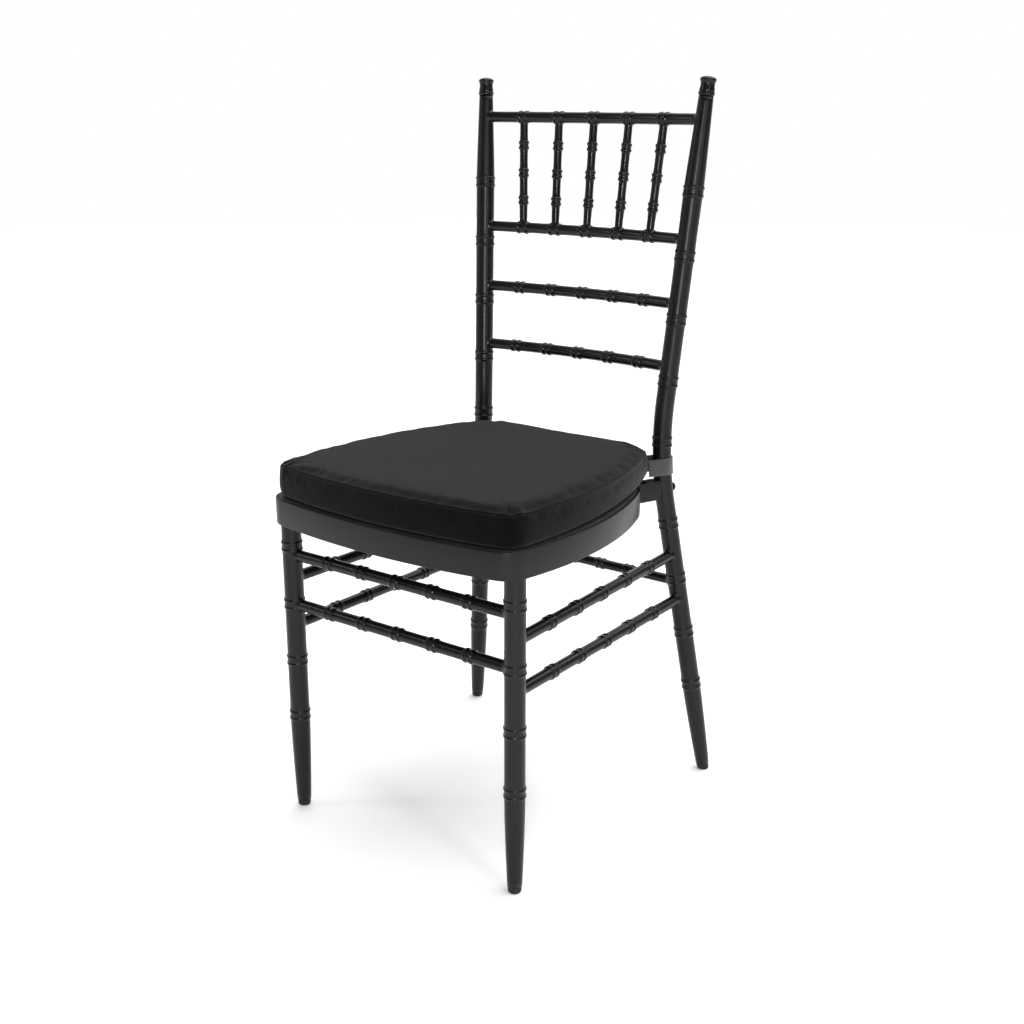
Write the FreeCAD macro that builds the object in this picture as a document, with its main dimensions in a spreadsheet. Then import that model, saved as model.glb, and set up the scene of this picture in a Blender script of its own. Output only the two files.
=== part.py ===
import FreeCAD, Part
import Sketcher
import math
import os
import re

from FreeCAD import Placement, Rotation, Vector

# Chiavari chair in bamboo-ringed steel tube with a strapped seat cushion.
# Millimetres, +Z up, floor at z = 0, the chair faces -Y, and X = 0 is its plane of symmetry.

SIZES = {
    # Back posts: one tube each, bent once, leaning back above and below the bend
    "chair_height": 920.0,
    "post_foot_side": 200.3,
    "post_foot_back": 218.7,
    "post_bend_side": 143.0,
    "post_bend_back": 164.9,
    "post_bend_height": 455.2,
    "post_top_side": 169.7,
    "post_top_back": 209.05,
    "post_bend_radius": 490.0,
    "post_radius": 11.8,
    "post_tip_radius": 9.1,
    "post_taper_length": 100.0,
    # Front legs and the feet of all four uprights
    "leg_radius": 12.0,
    "foot_radius": 9.0,
    "foot_taper_height": 115.0,
    # Bamboo rings of posts and legs
    "ring_rise": 1.1,
    "ring_width": 14.0,
    "lower_ring_height": 131.0,
    "lower_ring_pitch": 76.6,
    "upper_ring_height": 471.0,
    "upper_ring_pitch": 78.3,
    # Finials
    "bead_height": 10.5,
    "bead_radius": 10.25,
    "waist_height": 6.5,
    "waist_radius": 8.75,
    "cap_height": 6.5,
    "cap_radius": 10.15,
    # Foot glides
    "glide_height": 8.0,
    "glide_radius": 8.2,
    # Stretchers between the legs
    "front_upper_height": 349.0,
    "front_lower_height": 283.2,
    "side_upper_height": 317.2,
    "side_lower_height": 254.7,
    "rear_height": 278.5,
    "stretcher_radius": 7.0,
    "rear_stretcher_radius": 6.5,
    "front_ring_pitch": 54.7,
    "side_ring_pitch": 57.4,
    "rear_ring_pitch": 45.3,
    "slim_ring_rise": 1.2,
    "slim_ring_width": 14.0,
    # Bowed rails of the back, the top two hung from the chair's height
    "top_rail_drop": 50.8,
    "spindle_rail_drop": 194.0,
    "ladder_upper_height": 646.2,
    "ladder_lower_height": 567.0,
    "rail_radius": 6.6,
    "rail_bow": 13.0,
    "ladder_ring_pitch": 49.4,
    # Spindles
    "spindle_top_pitch": 54.1,
    "spindle_foot_pitch": 49.6,
    "spindle_radius": 5.0,
    "spindle_ring_pitch": 35.8,
    "spindle_ring_width": 11.0,
    # Seat apron, a flat band bent round the seat
    "apron_bottom": 394.0,
    "apron_height": 33.0,
    "apron_thickness": 2.5,
    "apron_front_reach": 227.0,
    "apron_front_radius": 882.7,
    "apron_corner_radius": 30.0,
    "apron_side_reach": 200.0,
    "apron_side_forward": 86.1,
    "apron_side_radius": 447.0,
    "apron_back_corner": 70.0,
    "apron_back_reach": 125.0,
    "leg_nest_angle": 15.0,
    "weld_gap": 0.3,
    # Seat board, its tabs and screws
    "board_thickness": 12.0,
    "board_gap": 1.0,
    "tab_length": 22.0,
    "tab_width": 26.0,
    "tab_thickness": 2.5,
    "screw_inset": 13.0,
    "screw_radius": 2.0,
    "screw_head_radius": 4.5,
    "screw_head_height": 2.5,
    "screw_reach": 8.0,
    "hole_clearance": 0.25,
    # Spacers and bolts between the apron and the posts
    "spacer_width": 16.0,
    "spacer_height": 26.0,
    "bolt_drop": 6.5,
    "bolt_radius": 3.0,
    "bolt_head_width": 10.0,
    "bolt_head_height": 4.0,
    "nut_height": 5.0,
    "bolt_tail": 2.0,
    "nut_clearance": 0.1,
    # Cushion
    "cushion_front_reach": 223.0,
    "cushion_front_radius": 830.0,
    "cushion_corner_radius": 33.0,
    "cushion_side_reach": 195.5,
    "cushion_side_forward": 100.0,
    "cushion_side_radius": 600.0,
    "cushion_back_corner": 52.0,
    "cushion_back_reach": 170.0,
    "cushion_clearance": 0.3,
    "cushion_side_height": 36.0,
    "cushion_slope": 0.9,
    "cushion_tuck": 6.0,
    "cushion_tuck_height": 4.0,
    "cushion_roll": 0.8,
    "cushion_belly": 12.0,
    "crown_shoulder": 3.0,
    "crown_shoulder_share": 0.9,
    "crown_rise": 5.0,
    "crown_share": 0.6,
    # Straps that hold the cushion to the posts
    "strap_middle": 439.5,
    "strap_width": 22.0,
    "strap_thickness": 1.6,
    "strap_clearance": 0.3,
}

# Sides of the tubes' sections: round to the eye, and few enough faces for ninety-one rings
POST_SIDES = 16
SLIM_SIDES = 10
SPINDLE_SIDES = 10
BOLT_SIDES = 8
HEX = 6

doc = FreeCAD.newDocument("ChiavariChair")
sheet = doc.addObject("Spreadsheet::Sheet", "Sizes")
for row, (name, value) in enumerate(SIZES.items(), start=1):
    sheet.set(f"A{row}", name)
    sheet.set(f"B{row}", str(value))
    sheet.setAlias(f"B{row}", name)
doc.recompute()
size = {name: float(sheet.get(name)) for name in SIZES}

nodes = []


def bind(thing, prop, formula):
    """Tie a property to a formula whose names are cells of the sheet."""
    thing.setExpression(prop, re.sub(r"[a-z][a-z_]+", lambda found: "Sizes." + found.group(), formula))


def keep(thing, label):
    """Name a finished piece of the chair."""
    thing.Label = label
    nodes.append(thing)
    return thing


# Sketches and features

def new_body(name, placement=None):
    body = doc.addObject("PartDesign::Body", name)
    body.Placement = placement or Placement()
    return body


def new_sketch(body, name, role, offset=None):
    """Sketch on one of the body's own origin planes."""
    sketch = body.newObject("Sketcher::SketchObject", name)
    plane = next(item for item in body.Origin.OriginFeatures if item.Role == role)
    sketch.AttachmentSupport = [(plane, "")]
    sketch.MapMode = "FlatFace"
    sketch.AttachmentOffset = offset or Placement()
    return sketch


def draw_polygon(sketch, corners):
    """Closed outline of straight lines; each corner is a pair of formulas."""
    count = len(corners)
    turns = [2 * math.pi * i / count for i in range(count)]
    start = [Vector(40 + 10 * math.cos(turn), 40 + 10 * math.sin(turn), 0) for turn in turns]
    for i in range(count):
        sketch.addGeometry(Part.LineSegment(start[i], start[(i + 1) % count]), False)
    for i in range(count):
        sketch.addConstraint(Sketcher.Constraint("Coincident", i, 2, (i + 1) % count, 1))
    for i, corner in enumerate(corners):
        for kind, now, formula in zip(("DistanceX", "DistanceY"), (start[i].x, start[i].y), corner):
            index = sketch.addConstraint(Sketcher.Constraint(kind, -1, 1, i, 1, now))
            bind(sketch, f"Constraints[{index}]", formula)


def pad(body, name, sketch, length):
    feature = body.newObject("PartDesign::Pad", name)
    feature.Profile = sketch
    bind(feature, "Length", length)
    return feature


def tube(name, stations, sides):
    """Ruled loft through many-sided sections; a station is a distance, a placement and a radius formula."""
    sections = []
    for _, placement, radius in sorted(stations, key=lambda station: station[0]):
        section = doc.addObject("Part::RegularPolygon", f"{name}Section{len(sections)}")
        section.Polygon = sides
        bind(section, "Circumradius", radius)
        section.Placement = placement
        sections.append(section)
    loft = doc.addObject("Part::Loft", name)
    loft.Sections = sections
    loft.Solid = True
    loft.Ruled = True
    return loft


def ring(middle, place, radius, rise, width):
    """Three stations of one bamboo ring: foot, peak and foot of a low double cone."""
    half = size[width] / 2
    return [
        (middle - half, place(middle - half), radius),
        (middle, place(middle), f"{radius} + {rise}"),
        (middle + half, place(middle + half), radius),
    ]


def prism(name, sides, radius, start, length):
    """Many-sided bar along the Z of a placement."""
    bar = doc.addObject("Part::Prism", name)
    bar.Polygon = sides
    bind(bar, "Circumradius", radius)
    bar.Placement = start
    if isinstance(length, str):
        bind(bar, "Height", length)
    else:
        bar.Height = length
    return bar


def bevelled(name, bar, length, lower, upper):
    """Bar with its two rims cut away by the given pairs of distance along and inwards."""
    doc.recompute()
    bevel = doc.addObject("Part::Chamfer", name)
    bevel.Base = bar
    to_bar = bar.Placement.inverse()
    edges = []
    for index, edge in enumerate(bar.Shape.Edges, start=1):
        heights = [to_bar.multVec(vertex.Point).z for vertex in edge.Vertexes]
        if max(heights) < length / 2:
            edges.append((index, *lower))
        elif min(heights) > length / 2:
            edges.append((index, *upper))
    bevel.Edges = edges
    return bevel


def cut(label, base, *tools):
    """Base without the tools."""
    result = base
    for index, tool in enumerate(tools, start=1):
        step = doc.addObject("Part::Cut", f"{label}Cut{index}")
        step.Base = result
        step.Tool = tool
        result = step
    return result


def join(name, *pieces):
    group = doc.addObject("Part::MultiFuse", name)
    group.Shapes = list(pieces)
    return group


def mirrored(piece, name):
    """The same piece on the other side of X = 0."""
    twin = doc.addObject("Part::Mirroring", name)
    twin.Source = piece
    twin.Base = Vector(0, 0, 0)
    twin.Normal = Vector(1, 0, 0)
    return twin


def keep_pair(piece, label):
    """Keep a right-hand piece and its left-hand twin."""
    keep(piece, label + "_right")
    return keep(mirrored(piece, label + "Twin"), label + "_left")


def facing(origin, z_axis, x_hint):
    """Placement at origin whose Z follows z_axis and whose X leans to x_hint."""
    z_axis = Vector(z_axis).normalize()
    y_axis = z_axis.cross(x_hint).normalize()
    x_axis = y_axis.cross(z_axis)
    return Placement(origin, Rotation(x_axis, y_axis, z_axis, "ZXY"))


# Centre line of the right-hand back post: lower leg, bend, upper leg, all in one plane

foot = Vector(size["post_foot_side"], size["post_foot_back"], 0)
bend = Vector(size["post_bend_side"], size["post_bend_back"], size["post_bend_height"])
tip = Vector(size["post_top_side"], size["post_top_back"], size["chair_height"])
lower_axis = (bend - foot).normalize()
upper_axis = (tip - bend).normalize()
bend_angle = lower_axis.getAngle(upper_axis)
bend_side = (upper_axis - lower_axis * lower_axis.dot(upper_axis)).normalize()
tangent_length = size["post_bend_radius"] * math.tan(bend_angle / 2)
arc_start = bend - lower_axis * tangent_length
arc_end = bend + upper_axis * tangent_length


def on_arc(turn):
    """Point of the bend at an angle from its start, and the tube's direction there."""
    radius = size["post_bend_radius"]
    point = arc_start + bend_side * (radius * (1 - math.cos(turn))) + lower_axis * (radius * math.sin(turn))
    return point, bend_side * math.sin(turn) + lower_axis * math.cos(turn)


def arc_turn(height):
    """Angle from the bend's start to the bend's point at a height."""
    radius = size["post_bend_radius"]
    rise = (height - arc_start.z) / radius - bend_side.z
    reach = math.hypot(lower_axis.z, bend_side.z)
    return math.asin(rise / reach) + math.atan2(bend_side.z, lower_axis.z)


def post_point(height):
    """Point of the post's centre line at a height above the floor, and the line's direction there."""
    if height < arc_start.z:
        return foot + lower_axis * (height / lower_axis.z), lower_axis
    if height > arc_end.z:
        return arc_end + upper_axis * ((height - arc_end.z) / upper_axis.z), upper_axis
    return on_arc(arc_turn(height))


def on_post(height):
    """Placement of a section square to the post's centre line at a height."""
    point, direction = post_point(height)
    return facing(point, direction, bend_side)


finial_drop = (size["bead_height"] + size["waist_height"] + size["cap_height"]) * upper_axis.z
tube_top = size["chair_height"] - finial_drop


def back_post(name):
    """Tapered, bent tube with nine bamboo rings: four below the seat, five above it."""
    plain = {
        size["glide_height"]: "foot_radius",
        size["foot_taper_height"]: "post_radius",
        arc_start.z: "post_radius",
        arc_end.z: "post_radius",
        tube_top - size["post_taper_length"]: "post_radius",
        tube_top: "post_tip_radius",
    }
    for share in (0.25, 0.5, 0.75):
        plain[on_arc(bend_angle * share)[0].z] = "post_radius"
    stations = [(height, on_post(height), radius) for height, radius in plain.items()]
    for number in range(4):
        height = size["lower_ring_height"] + number * size["lower_ring_pitch"]
        stations += ring(height, on_post, "post_radius", "ring_rise", "ring_width")
    for number in range(5):
        height = size["upper_ring_height"] + number * size["upper_ring_pitch"]
        stations += ring(height, on_post, "post_radius", "ring_rise", "ring_width")
    return tube(name, stations, POST_SIDES)


# Plan outline of seat pieces: tangent arcs for front, corners, sides and rear corners, one line behind

def plan(piece):
    """Centres and radii of an outline's arcs on the right-hand side, and its rear corner's centre."""
    front_radius = size[piece + "_front_radius"]
    corner = size[piece + "_corner_radius"]
    side_radius = size[piece + "_side_radius"]
    rear = size[piece + "_back_corner"]
    front = Vector(0, front_radius - size[piece + "_front_reach"], 0)
    side = Vector(size[piece + "_side_reach"] - side_radius, -size[piece + "_side_forward"], 0)
    gap = side - front
    near = front_radius - corner
    far = side_radius - corner
    along = (near ** 2 - far ** 2 + gap.Length ** 2) / (2 * gap.Length)
    across = math.sqrt(near ** 2 - along ** 2)
    unit = Vector(gap).normalize()
    corner_centre = front + unit * along + Vector(-unit.y, unit.x, 0) * across
    if corner_centre.x < front.x:
        corner_centre = front + unit * along - Vector(-unit.y, unit.x, 0) * across
    rear_y = size[piece + "_back_reach"] - rear
    rear_x = side.x + math.sqrt((side_radius - rear) ** 2 - (rear_y - side.y) ** 2)
    return {
        "front": (front, front_radius),
        "corner": (corner_centre, corner),
        "side": (side, side_radius),
        "rear": (Vector(rear_x, rear_y, 0), rear),
    }


def heading(start, end):
    return math.atan2(end.y - start.y, end.x - start.x)


def draw_plan(sketch, piece, insets=(), outset="", share=""):
    """Closed seat outline, set in by the sum of named sizes, out by one, or shrunk to a named share."""
    arcs = plan(piece)
    factor = size[share] if share else 1.0
    inset = sum(size[name] for name in insets) - (size[outset] if outset else 0.0)
    inset_text = " + ".join(insets) if insets else "0"
    if outset:
        inset_text = f"{inset_text} - {outset}"
    share_text = share or "1"
    front, corner, side, rear = (arcs[key][0] * factor for key in ("front", "corner", "side", "rear"))
    radii = [arcs[key][1] * factor - inset for key in ("front", "corner", "side", "rear")]
    to_corner = heading(front, corner)
    to_side = heading(side, corner)
    to_rear = heading(side, rear)
    up = math.pi / 2

    def flip(point):
        return Vector(-point.x, point.y, 0)

    def arc(centre, radius, start, end):
        circle = Part.Circle(centre, Vector(0, 0, 1), radius)
        sketch.addGeometry(Part.ArcOfCircle(circle, start, end), False)

    arc(front, radii[0], math.pi - to_corner, to_corner)
    arc(corner, radii[1], to_corner, to_side)
    arc(side, radii[2], to_side, to_rear)
    arc(rear, radii[3], to_rear, up)
    back_y = rear.y + radii[3]
    sketch.addGeometry(Part.LineSegment(Vector(rear.x, back_y, 0), Vector(-rear.x, back_y, 0)), False)
    arc(flip(rear), radii[3], up, math.pi - to_rear)
    arc(flip(side), radii[2], math.pi - to_rear, math.pi - to_side)
    arc(flip(corner), radii[1], math.pi - to_side, math.pi - to_corner)
    for i in range(8):
        sketch.addConstraint(Sketcher.Constraint("Tangent", i, 2, (i + 1) % 8, 1))
    sketch.addConstraint(Sketcher.Constraint("PointOnObject", 0, 3, -2))
    sketch.addConstraint(Sketcher.Constraint("Horizontal", 4))
    named = [
        ("DistanceY", (-1, 1, 0, 3), front.y, f"({piece}_front_radius - {piece}_front_reach) * {share_text}"),
        ("DistanceX", (-1, 1, 2, 3), side.x, f"({piece}_side_reach - {piece}_side_radius) * {share_text}"),
        ("DistanceY", (-1, 1, 2, 3), side.y, f"-{piece}_side_forward * {share_text}"),
        ("DistanceX", (-1, 1, 6, 3), -side.x, f"({piece}_side_radius - {piece}_side_reach) * {share_text}"),
        ("DistanceY", (-1, 1, 6, 3), side.y, f"-{piece}_side_forward * {share_text}"),
        ("DistanceY", (-1, 1, 4, 1), back_y, f"{piece}_back_reach * {share_text} - ({inset_text})"),
    ]
    radius_of = {0: "front_radius", 1: "corner_radius", 2: "side_radius", 3: "back_corner",
                 5: "back_corner", 6: "side_radius", 7: "corner_radius"}
    for kind, where, now, formula in named:
        index = sketch.addConstraint(Sketcher.Constraint(kind, *where, now))
        bind(sketch, f"Constraints[{index}]", formula)
    for edge, name in radius_of.items():
        now = radii[(0, 1, 2, 3, 0, 3, 2, 1)[edge]]
        index = sketch.addConstraint(Sketcher.Constraint("Radius", edge, now))
        bind(sketch, f"Constraints[{index}]", f"{piece}_{name} * {share_text} - ({inset_text})")


def plan_sketch(body, name, piece, height, insets=(), outset="", share="", slope=0.0):
    """Seat outline in a level or sloping plane at a height above the body's origin."""
    tilt = Rotation(Vector(1, 0, 0), -slope)
    sketch = new_sketch(body, name, "XY_Plane", Placement(Vector(0, 0, 0), tilt))
    bind(sketch, "AttachmentOffset.Base.z", height)
    draw_plan(sketch, piece, insets, outset, share)
    return sketch


apron_arcs = plan("apron")
apron_corner, apron_corner_radius = apron_arcs["corner"]
apron_rear, apron_rear_radius = apron_arcs["rear"]
board_bottom = size["apron_bottom"] + size["apron_height"] - size["board_thickness"]

# Front legs stand upright, nested in the apron's front corners

nest = apron_corner_radius - size["apron_thickness"] - size["weld_gap"] - size["leg_radius"]
nest_angle = math.radians(-size["leg_nest_angle"])
leg_point = apron_corner + Vector(math.cos(nest_angle), math.sin(nest_angle), 0) * nest
leg_top = board_bottom - size["weld_gap"]


def on_leg(height):
    """Placement of a level section of the front leg at a height."""
    return Placement(Vector(leg_point.x, leg_point.y, height), Rotation())


def front_leg(name):
    """Upright tube, tapered at the foot, with four bamboo rings."""
    plain = {
        size["glide_height"]: "foot_radius",
        size["foot_taper_height"]: "leg_radius",
        leg_top: "leg_radius",
    }
    stations = [(height, on_leg(height), radius) for height, radius in plain.items()]
    for number in range(4):
        height = size["lower_ring_height"] + number * size["lower_ring_pitch"]
        stations += ring(height, on_leg, "leg_radius", "ring_rise", "ring_width")
    return tube(name, stations, POST_SIDES)


leg = front_leg("FrontLeg")
post = back_post("PostTube")
leg_left = keep_pair(leg, "front_leg")
post_left = mirrored(post, "PostTubeTwin")

# Bolt line from the apron's rear corner to the post, square to both

bolt_height = board_bottom - size["bolt_drop"]
spacer_end = post_point(bolt_height)[0]
bolt_line = Vector(spacer_end.x - apron_rear.x, spacer_end.y - apron_rear.y, 0)
bolt_run = bolt_line.Length
bolt_line = bolt_line.normalize()
bolt_start = Vector(apron_rear.x, apron_rear.y, bolt_height)
nut_half = size["bolt_head_width"] / math.sqrt(3)
nut_face = math.sqrt((apron_rear_radius - size["apron_thickness"]) ** 2 - nut_half ** 2)
head_face = bolt_run + size["post_radius"]
tail_end = nut_face - size["nut_height"] - size["bolt_tail"]


def along_bolt(distance):
    """Placement on the bolt line, Z towards the post, X level."""
    return facing(bolt_start + bolt_line * distance, bolt_line, Vector(0, 0, 1).cross(bolt_line))


hole = prism("BoltHole", BOLT_SIDES, "bolt_radius + hole_clearance", along_bolt(tail_end), head_face - tail_end)
keep_pair(cut("BackPost", post, hole), "back_post")

# Finials: bead, waist and domed cap, turned about the post's upper axis

def along_finial(distance):
    """Placement on the post's upper axis, above the tube's end."""
    return facing(post_point(tube_top)[0] + upper_axis * distance, upper_axis, bend_side)


bead = prism("FinialBead", POST_SIDES, "bead_radius", along_finial(0), "bead_height")
bead_bevel = (size["bead_radius"] - size["post_tip_radius"]) * 2
bead_round = bevelled("FinialBeadRound", bead, size["bead_height"], (bead_bevel, bead_bevel / 2),
                      (bead_bevel, bead_bevel / 2))
waist = prism("FinialWaist", POST_SIDES, "waist_radius", along_finial(size["bead_height"]), "waist_height")
cap_start = size["bead_height"] + size["waist_height"]
cap = prism("FinialCap", POST_SIDES, "cap_radius", along_finial(cap_start), "cap_height")
cap_bevel = size["cap_height"] / 4
cap_round = bevelled("FinialCapRound", cap, size["cap_height"], (cap_bevel, cap_bevel / 2),
                     (cap_bevel, cap_bevel * 2))
keep_pair(join("Finial", bead_round, waist, cap_round), "finial")

# Foot glides: a pad under each tube's end, cut flat on the floor


def glide(name, top, axis):
    """Pad below a tube's end, in line with the tube."""
    start = facing(top - axis * (size["glide_height"] * 2), axis, bend_side)
    block = prism(name + "Pad", POST_SIDES, "glide_radius", start, "glide_height * 2")
    reach = 3 * size["glide_radius"]
    floor = doc.addObject("Part::Box", name + "Floor")
    bind(floor, "Length", "6 * glide_radius")
    bind(floor, "Width", "6 * glide_radius")
    bind(floor, "Height", "4 * glide_height")
    corner = Vector(top.x - reach, top.y - reach, -4 * size["glide_height"])
    floor.Placement = Placement(corner, Rotation())
    return cut(name, block, floor)


up = Vector(0, 0, 1)
keep_pair(glide("FrontGlide", on_leg(size["glide_height"]).Base, up), "foot_glide_front")
keep_pair(glide("RearGlide", post_point(size["glide_height"])[0], lower_axis), "foot_glide_rear")

# Straight stretchers, their ends coped to the uprights


def ringed_rod(name, start, end, radius, sides, pitch, count, width):
    """Rod between two points with evenly spaced rings about its middle."""
    run = end - start
    length = run.Length
    frame = facing(start, run, up.cross(run))

    def place(along):
        return frame.multiply(Placement(Vector(0, 0, along), Rotation()))

    stations = [(0, place(0), radius), (length, place(length), radius)]
    for number in range(count):
        middle = length / 2 + (number - (count - 1) / 2) * size[pitch]
        stations += ring(middle, place, radius, "slim_ring_rise", width)
    return tube(name, stations, sides)


def stretcher(name, start, end, radius, pitch, *uprights):
    """Five-ringed rod between two uprights, coped to both."""
    rod = ringed_rod(name + "Rod", start, end, radius, SLIM_SIDES, pitch, 5, "slim_ring_width")
    return cut(name, rod, *uprights)


def across(point):
    """The same point on the other side."""
    return Vector(-point.x, point.y, point.z)


for level in ("upper", "lower"):
    at_leg = on_leg(size[f"front_{level}_height"]).Base
    name = "FrontStretcher" + level.capitalize()
    front_rod = stretcher(name, across(at_leg), at_leg, "stretcher_radius", "front_ring_pitch", leg, leg_left)
    keep(front_rod, "front_stretcher_" + level)
    height = size[f"side_{level}_height"]
    name = "SideStretcher" + level.capitalize()
    at_leg = on_leg(height).Base
    at_post = post_point(height)[0]
    side_rod = stretcher(name, at_leg, at_post, "stretcher_radius", "side_ring_pitch", leg, post)
    keep_pair(side_rod, "side_stretcher_" + level)
at_post = post_point(size["rear_height"])[0]
rear_rod = stretcher("RearStretcher", across(at_post), at_post, "rear_stretcher_radius", "rear_ring_pitch",
                     post, post_left)
keep(rear_rod, "rear_stretcher")

# Bowed rails: level arcs from post to post, the middle set back


def bow(height):
    """Centre, radius and half angle of a rail's arc at a height."""
    end = post_point(height)[0]
    radius = (end.x ** 2 + size["rail_bow"] ** 2) / (2 * size["rail_bow"])
    return Vector(0, end.y + size["rail_bow"] - radius, height), radius, math.asin(end.x / radius)


def on_bow(height, aside):
    """Placement of a section square to a rail's arc, at a distance to the side."""
    centre, radius, _ = bow(height)
    turn = math.asin(aside / radius)
    outwards = Vector(math.sin(turn), math.cos(turn), 0)
    return facing(centre + outwards * radius, Vector(outwards.y, -outwards.x, 0), outwards)


def rail(name, height, pitch):
    """Bowed rail with five rings, whose pitch is measured straight across."""
    half = post_point(height)[0].x

    def place(aside):
        return on_bow(height, aside)

    stations = [(-half, place(-half), "rail_radius"), (half, place(half), "rail_radius")]
    for number in range(-2, 3):
        stations += ring(number * size[pitch], place, "rail_radius", "slim_ring_rise", "slim_ring_width")
    return tube(name, stations, SLIM_SIDES)


top_height = size["chair_height"] - size["top_rail_drop"]
spindle_height = size["chair_height"] - size["spindle_rail_drop"]
top_rail = rail("TopRail", top_height, "spindle_top_pitch")
spindle_rail = rail("SpindleRail", spindle_height, "spindle_foot_pitch")
ladder_upper = rail("LadderUpper", size["ladder_upper_height"], "ladder_ring_pitch")
ladder_lower = rail("LadderLower", size["ladder_lower_height"], "ladder_ring_pitch")
keep(cut("TopRailCoped", top_rail, post, post_left), "top_rail")
keep(cut("SpindleRailCoped", spindle_rail, post, post_left), "spindle_rail")
keep(cut("LadderUpperCoped", ladder_upper, post, post_left), "ladder_rail_upper")
keep(cut("LadderLowerCoped", ladder_lower, post, post_left), "ladder_rail_lower")

# Spindles fan out upwards and stand on the rails' rings

for number in range(-2, 3):
    start = on_bow(spindle_height, number * size["spindle_foot_pitch"]).Base
    end = on_bow(top_height, number * size["spindle_top_pitch"]).Base
    run = end - start
    line = facing(start, run, up.cross(run))
    name = f"Spindle{number + 3}"
    pieces = [prism(name + "Rod", SPINDLE_SIDES, "spindle_radius", line, run.Length)]
    for level in (-1, 0, 1):
        middle = run.Length / 2 + level * size["spindle_ring_pitch"]
        below = line.multiply(Placement(Vector(0, 0, middle - size["spindle_ring_width"] / 2), Rotation()))
        collar = prism(f"{name}Ring{level + 2}", SPINDLE_SIDES, "spindle_radius + slim_ring_rise", below,
                       "spindle_ring_width")
        pieces.append(collar)
    keep(cut(name, join(name + "Ringed", *pieces), spindle_rail, top_rail), f"spindle_{number + 3}")

# Seat apron: a band between two parallel outlines, drilled for the bolts

apron = new_body("Apron", Placement(Vector(0, 0, size["apron_bottom"]), Rotation()))
pad(apron, "ApronBlock", plan_sketch(apron, "ApronOuter", "apron", "0"), "apron_height")
inside = apron.newObject("PartDesign::Pocket", "ApronInside")
inside.Profile = plan_sketch(apron, "ApronInner", "apron", "0", ("apron_thickness",))
inside.Type = "ThroughAll"
inside.Reversed = True
apron.Tip = inside
both_holes = join("BoltHoles", hole, mirrored(hole, "BoltHoleTwin"))
keep(cut("ApronDrilled", apron, both_holes), "seat_apron")

# Seat board flush with the apron's rim, on four tabs, a screw up through each

front_centre, front_radius = apron_arcs["front"]
side_centre, side_radius = apron_arcs["side"]


def seat_in_curve(radius):
    """Distance from an arc's centre to a tab whose two corners touch the band's inside."""
    inner = radius - size["apron_thickness"]
    return math.sqrt(inner ** 2 - (size["tab_width"] / 2) ** 2)


front_seat = front_centre.y - seat_in_curve(front_radius)
side_seat = side_centre.x + seat_in_curve(side_radius)
back_seat = size["apron_back_reach"] - size["apron_thickness"]
tab_places = {
    "front": (Vector(0, front_seat, 0), 90.0),
    "right": (Vector(side_seat, side_centre.y, 0), 180.0),
    "back": (Vector(0, back_seat, 0), 270.0),
    "left": (Vector(-side_seat, side_centre.y, 0), 0.0),
}
board = new_body("Board", Placement(Vector(0, 0, board_bottom), Rotation()))
board_plan = plan_sketch(board, "BoardPlan", "apron", "0", ("apron_thickness", "board_gap"))
pad(board, "BoardPlate", board_plan, "board_thickness")
drills = []

for side, (edge, turn) in tab_places.items():
    inwards = Rotation(Vector(0, 0, 1), turn)
    name = "Tab" + side.capitalize()
    underside = board_bottom - size["tab_thickness"]
    tab = new_body(name, Placement(Vector(edge.x, edge.y, underside), inwards))
    outline = new_sketch(tab, name + "Plan", "XY_Plane")
    draw_polygon(outline, [
        ("0", "-tab_width / 2"),
        ("tab_length", "-tab_width / 2"),
        ("tab_length", "tab_width / 2"),
        ("0", "tab_width / 2"),
    ])
    pad(tab, name + "Plate", outline, "tab_thickness")
    spot = edge + inwards.multVec(Vector(size["screw_inset"], 0, 0))
    screw_start = Placement(Vector(spot.x, spot.y, underside), Rotation())
    drill = prism(name + "Drill", BOLT_SIDES, "screw_radius + hole_clearance", screw_start,
                  "tab_thickness + screw_reach + hole_clearance")
    drills.append(drill)
    keep(cut(name + "Drilled", tab, drill), "seat_tab_" + side)
    head_start = Placement(Vector(spot.x, spot.y, underside - size["screw_head_height"]), Rotation())
    head = prism(name + "ScrewHead", HEX, "screw_head_radius", head_start, "screw_head_height")
    shank = prism(name + "ScrewShank", BOLT_SIDES, "screw_radius", screw_start, "tab_thickness + screw_reach")
    keep(join(name + "Screw", head, shank), "seat_screw_" + side)

keep(cut("BoardDrilled", board, join("Drills", *drills)), "seat_board")

# Spacers from the apron's rear corners to the posts, each with a bolt and a nut

spacer_start = apron_rear_radius - size["apron_thickness"] / 2
spacer = new_body("Spacer", along_bolt(spacer_start))
spacer_plan = new_sketch(spacer, "SpacerSection", "XY_Plane")
draw_polygon(spacer_plan, [
    ("-spacer_width / 2", "-spacer_height / 2"),
    ("spacer_width / 2", "-spacer_height / 2"),
    ("spacer_width / 2", "spacer_height / 2"),
    ("-spacer_width / 2", "spacer_height / 2"),
])
pad(spacer, "SpacerBlock", spacer_plan, f"{bolt_run - spacer_start}")
keep_pair(cut("SpacerCoped", spacer, apron, post, hole), "seat_spacer")

bolt_head = prism("BoltHead", HEX, f"bolt_head_width / {math.sqrt(3)}", along_bolt(head_face), "bolt_head_height")
shank = prism("BoltShank", BOLT_SIDES, "bolt_radius", along_bolt(tail_end), head_face - tail_end)
keep_pair(join("Bolt", bolt_head, shank), "seat_bolt")
nut_place = along_bolt(nut_face - size["nut_height"])
nut_block = prism("NutBlock", HEX, f"bolt_head_width / {math.sqrt(3)}", nut_place, "nut_height")
nut_bore = prism("NutBore", BOLT_SIDES, "bolt_radius + nut_clearance", nut_place, "nut_height")
keep_pair(cut("Nut", nut_block, nut_bore), "seat_nut")

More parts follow.
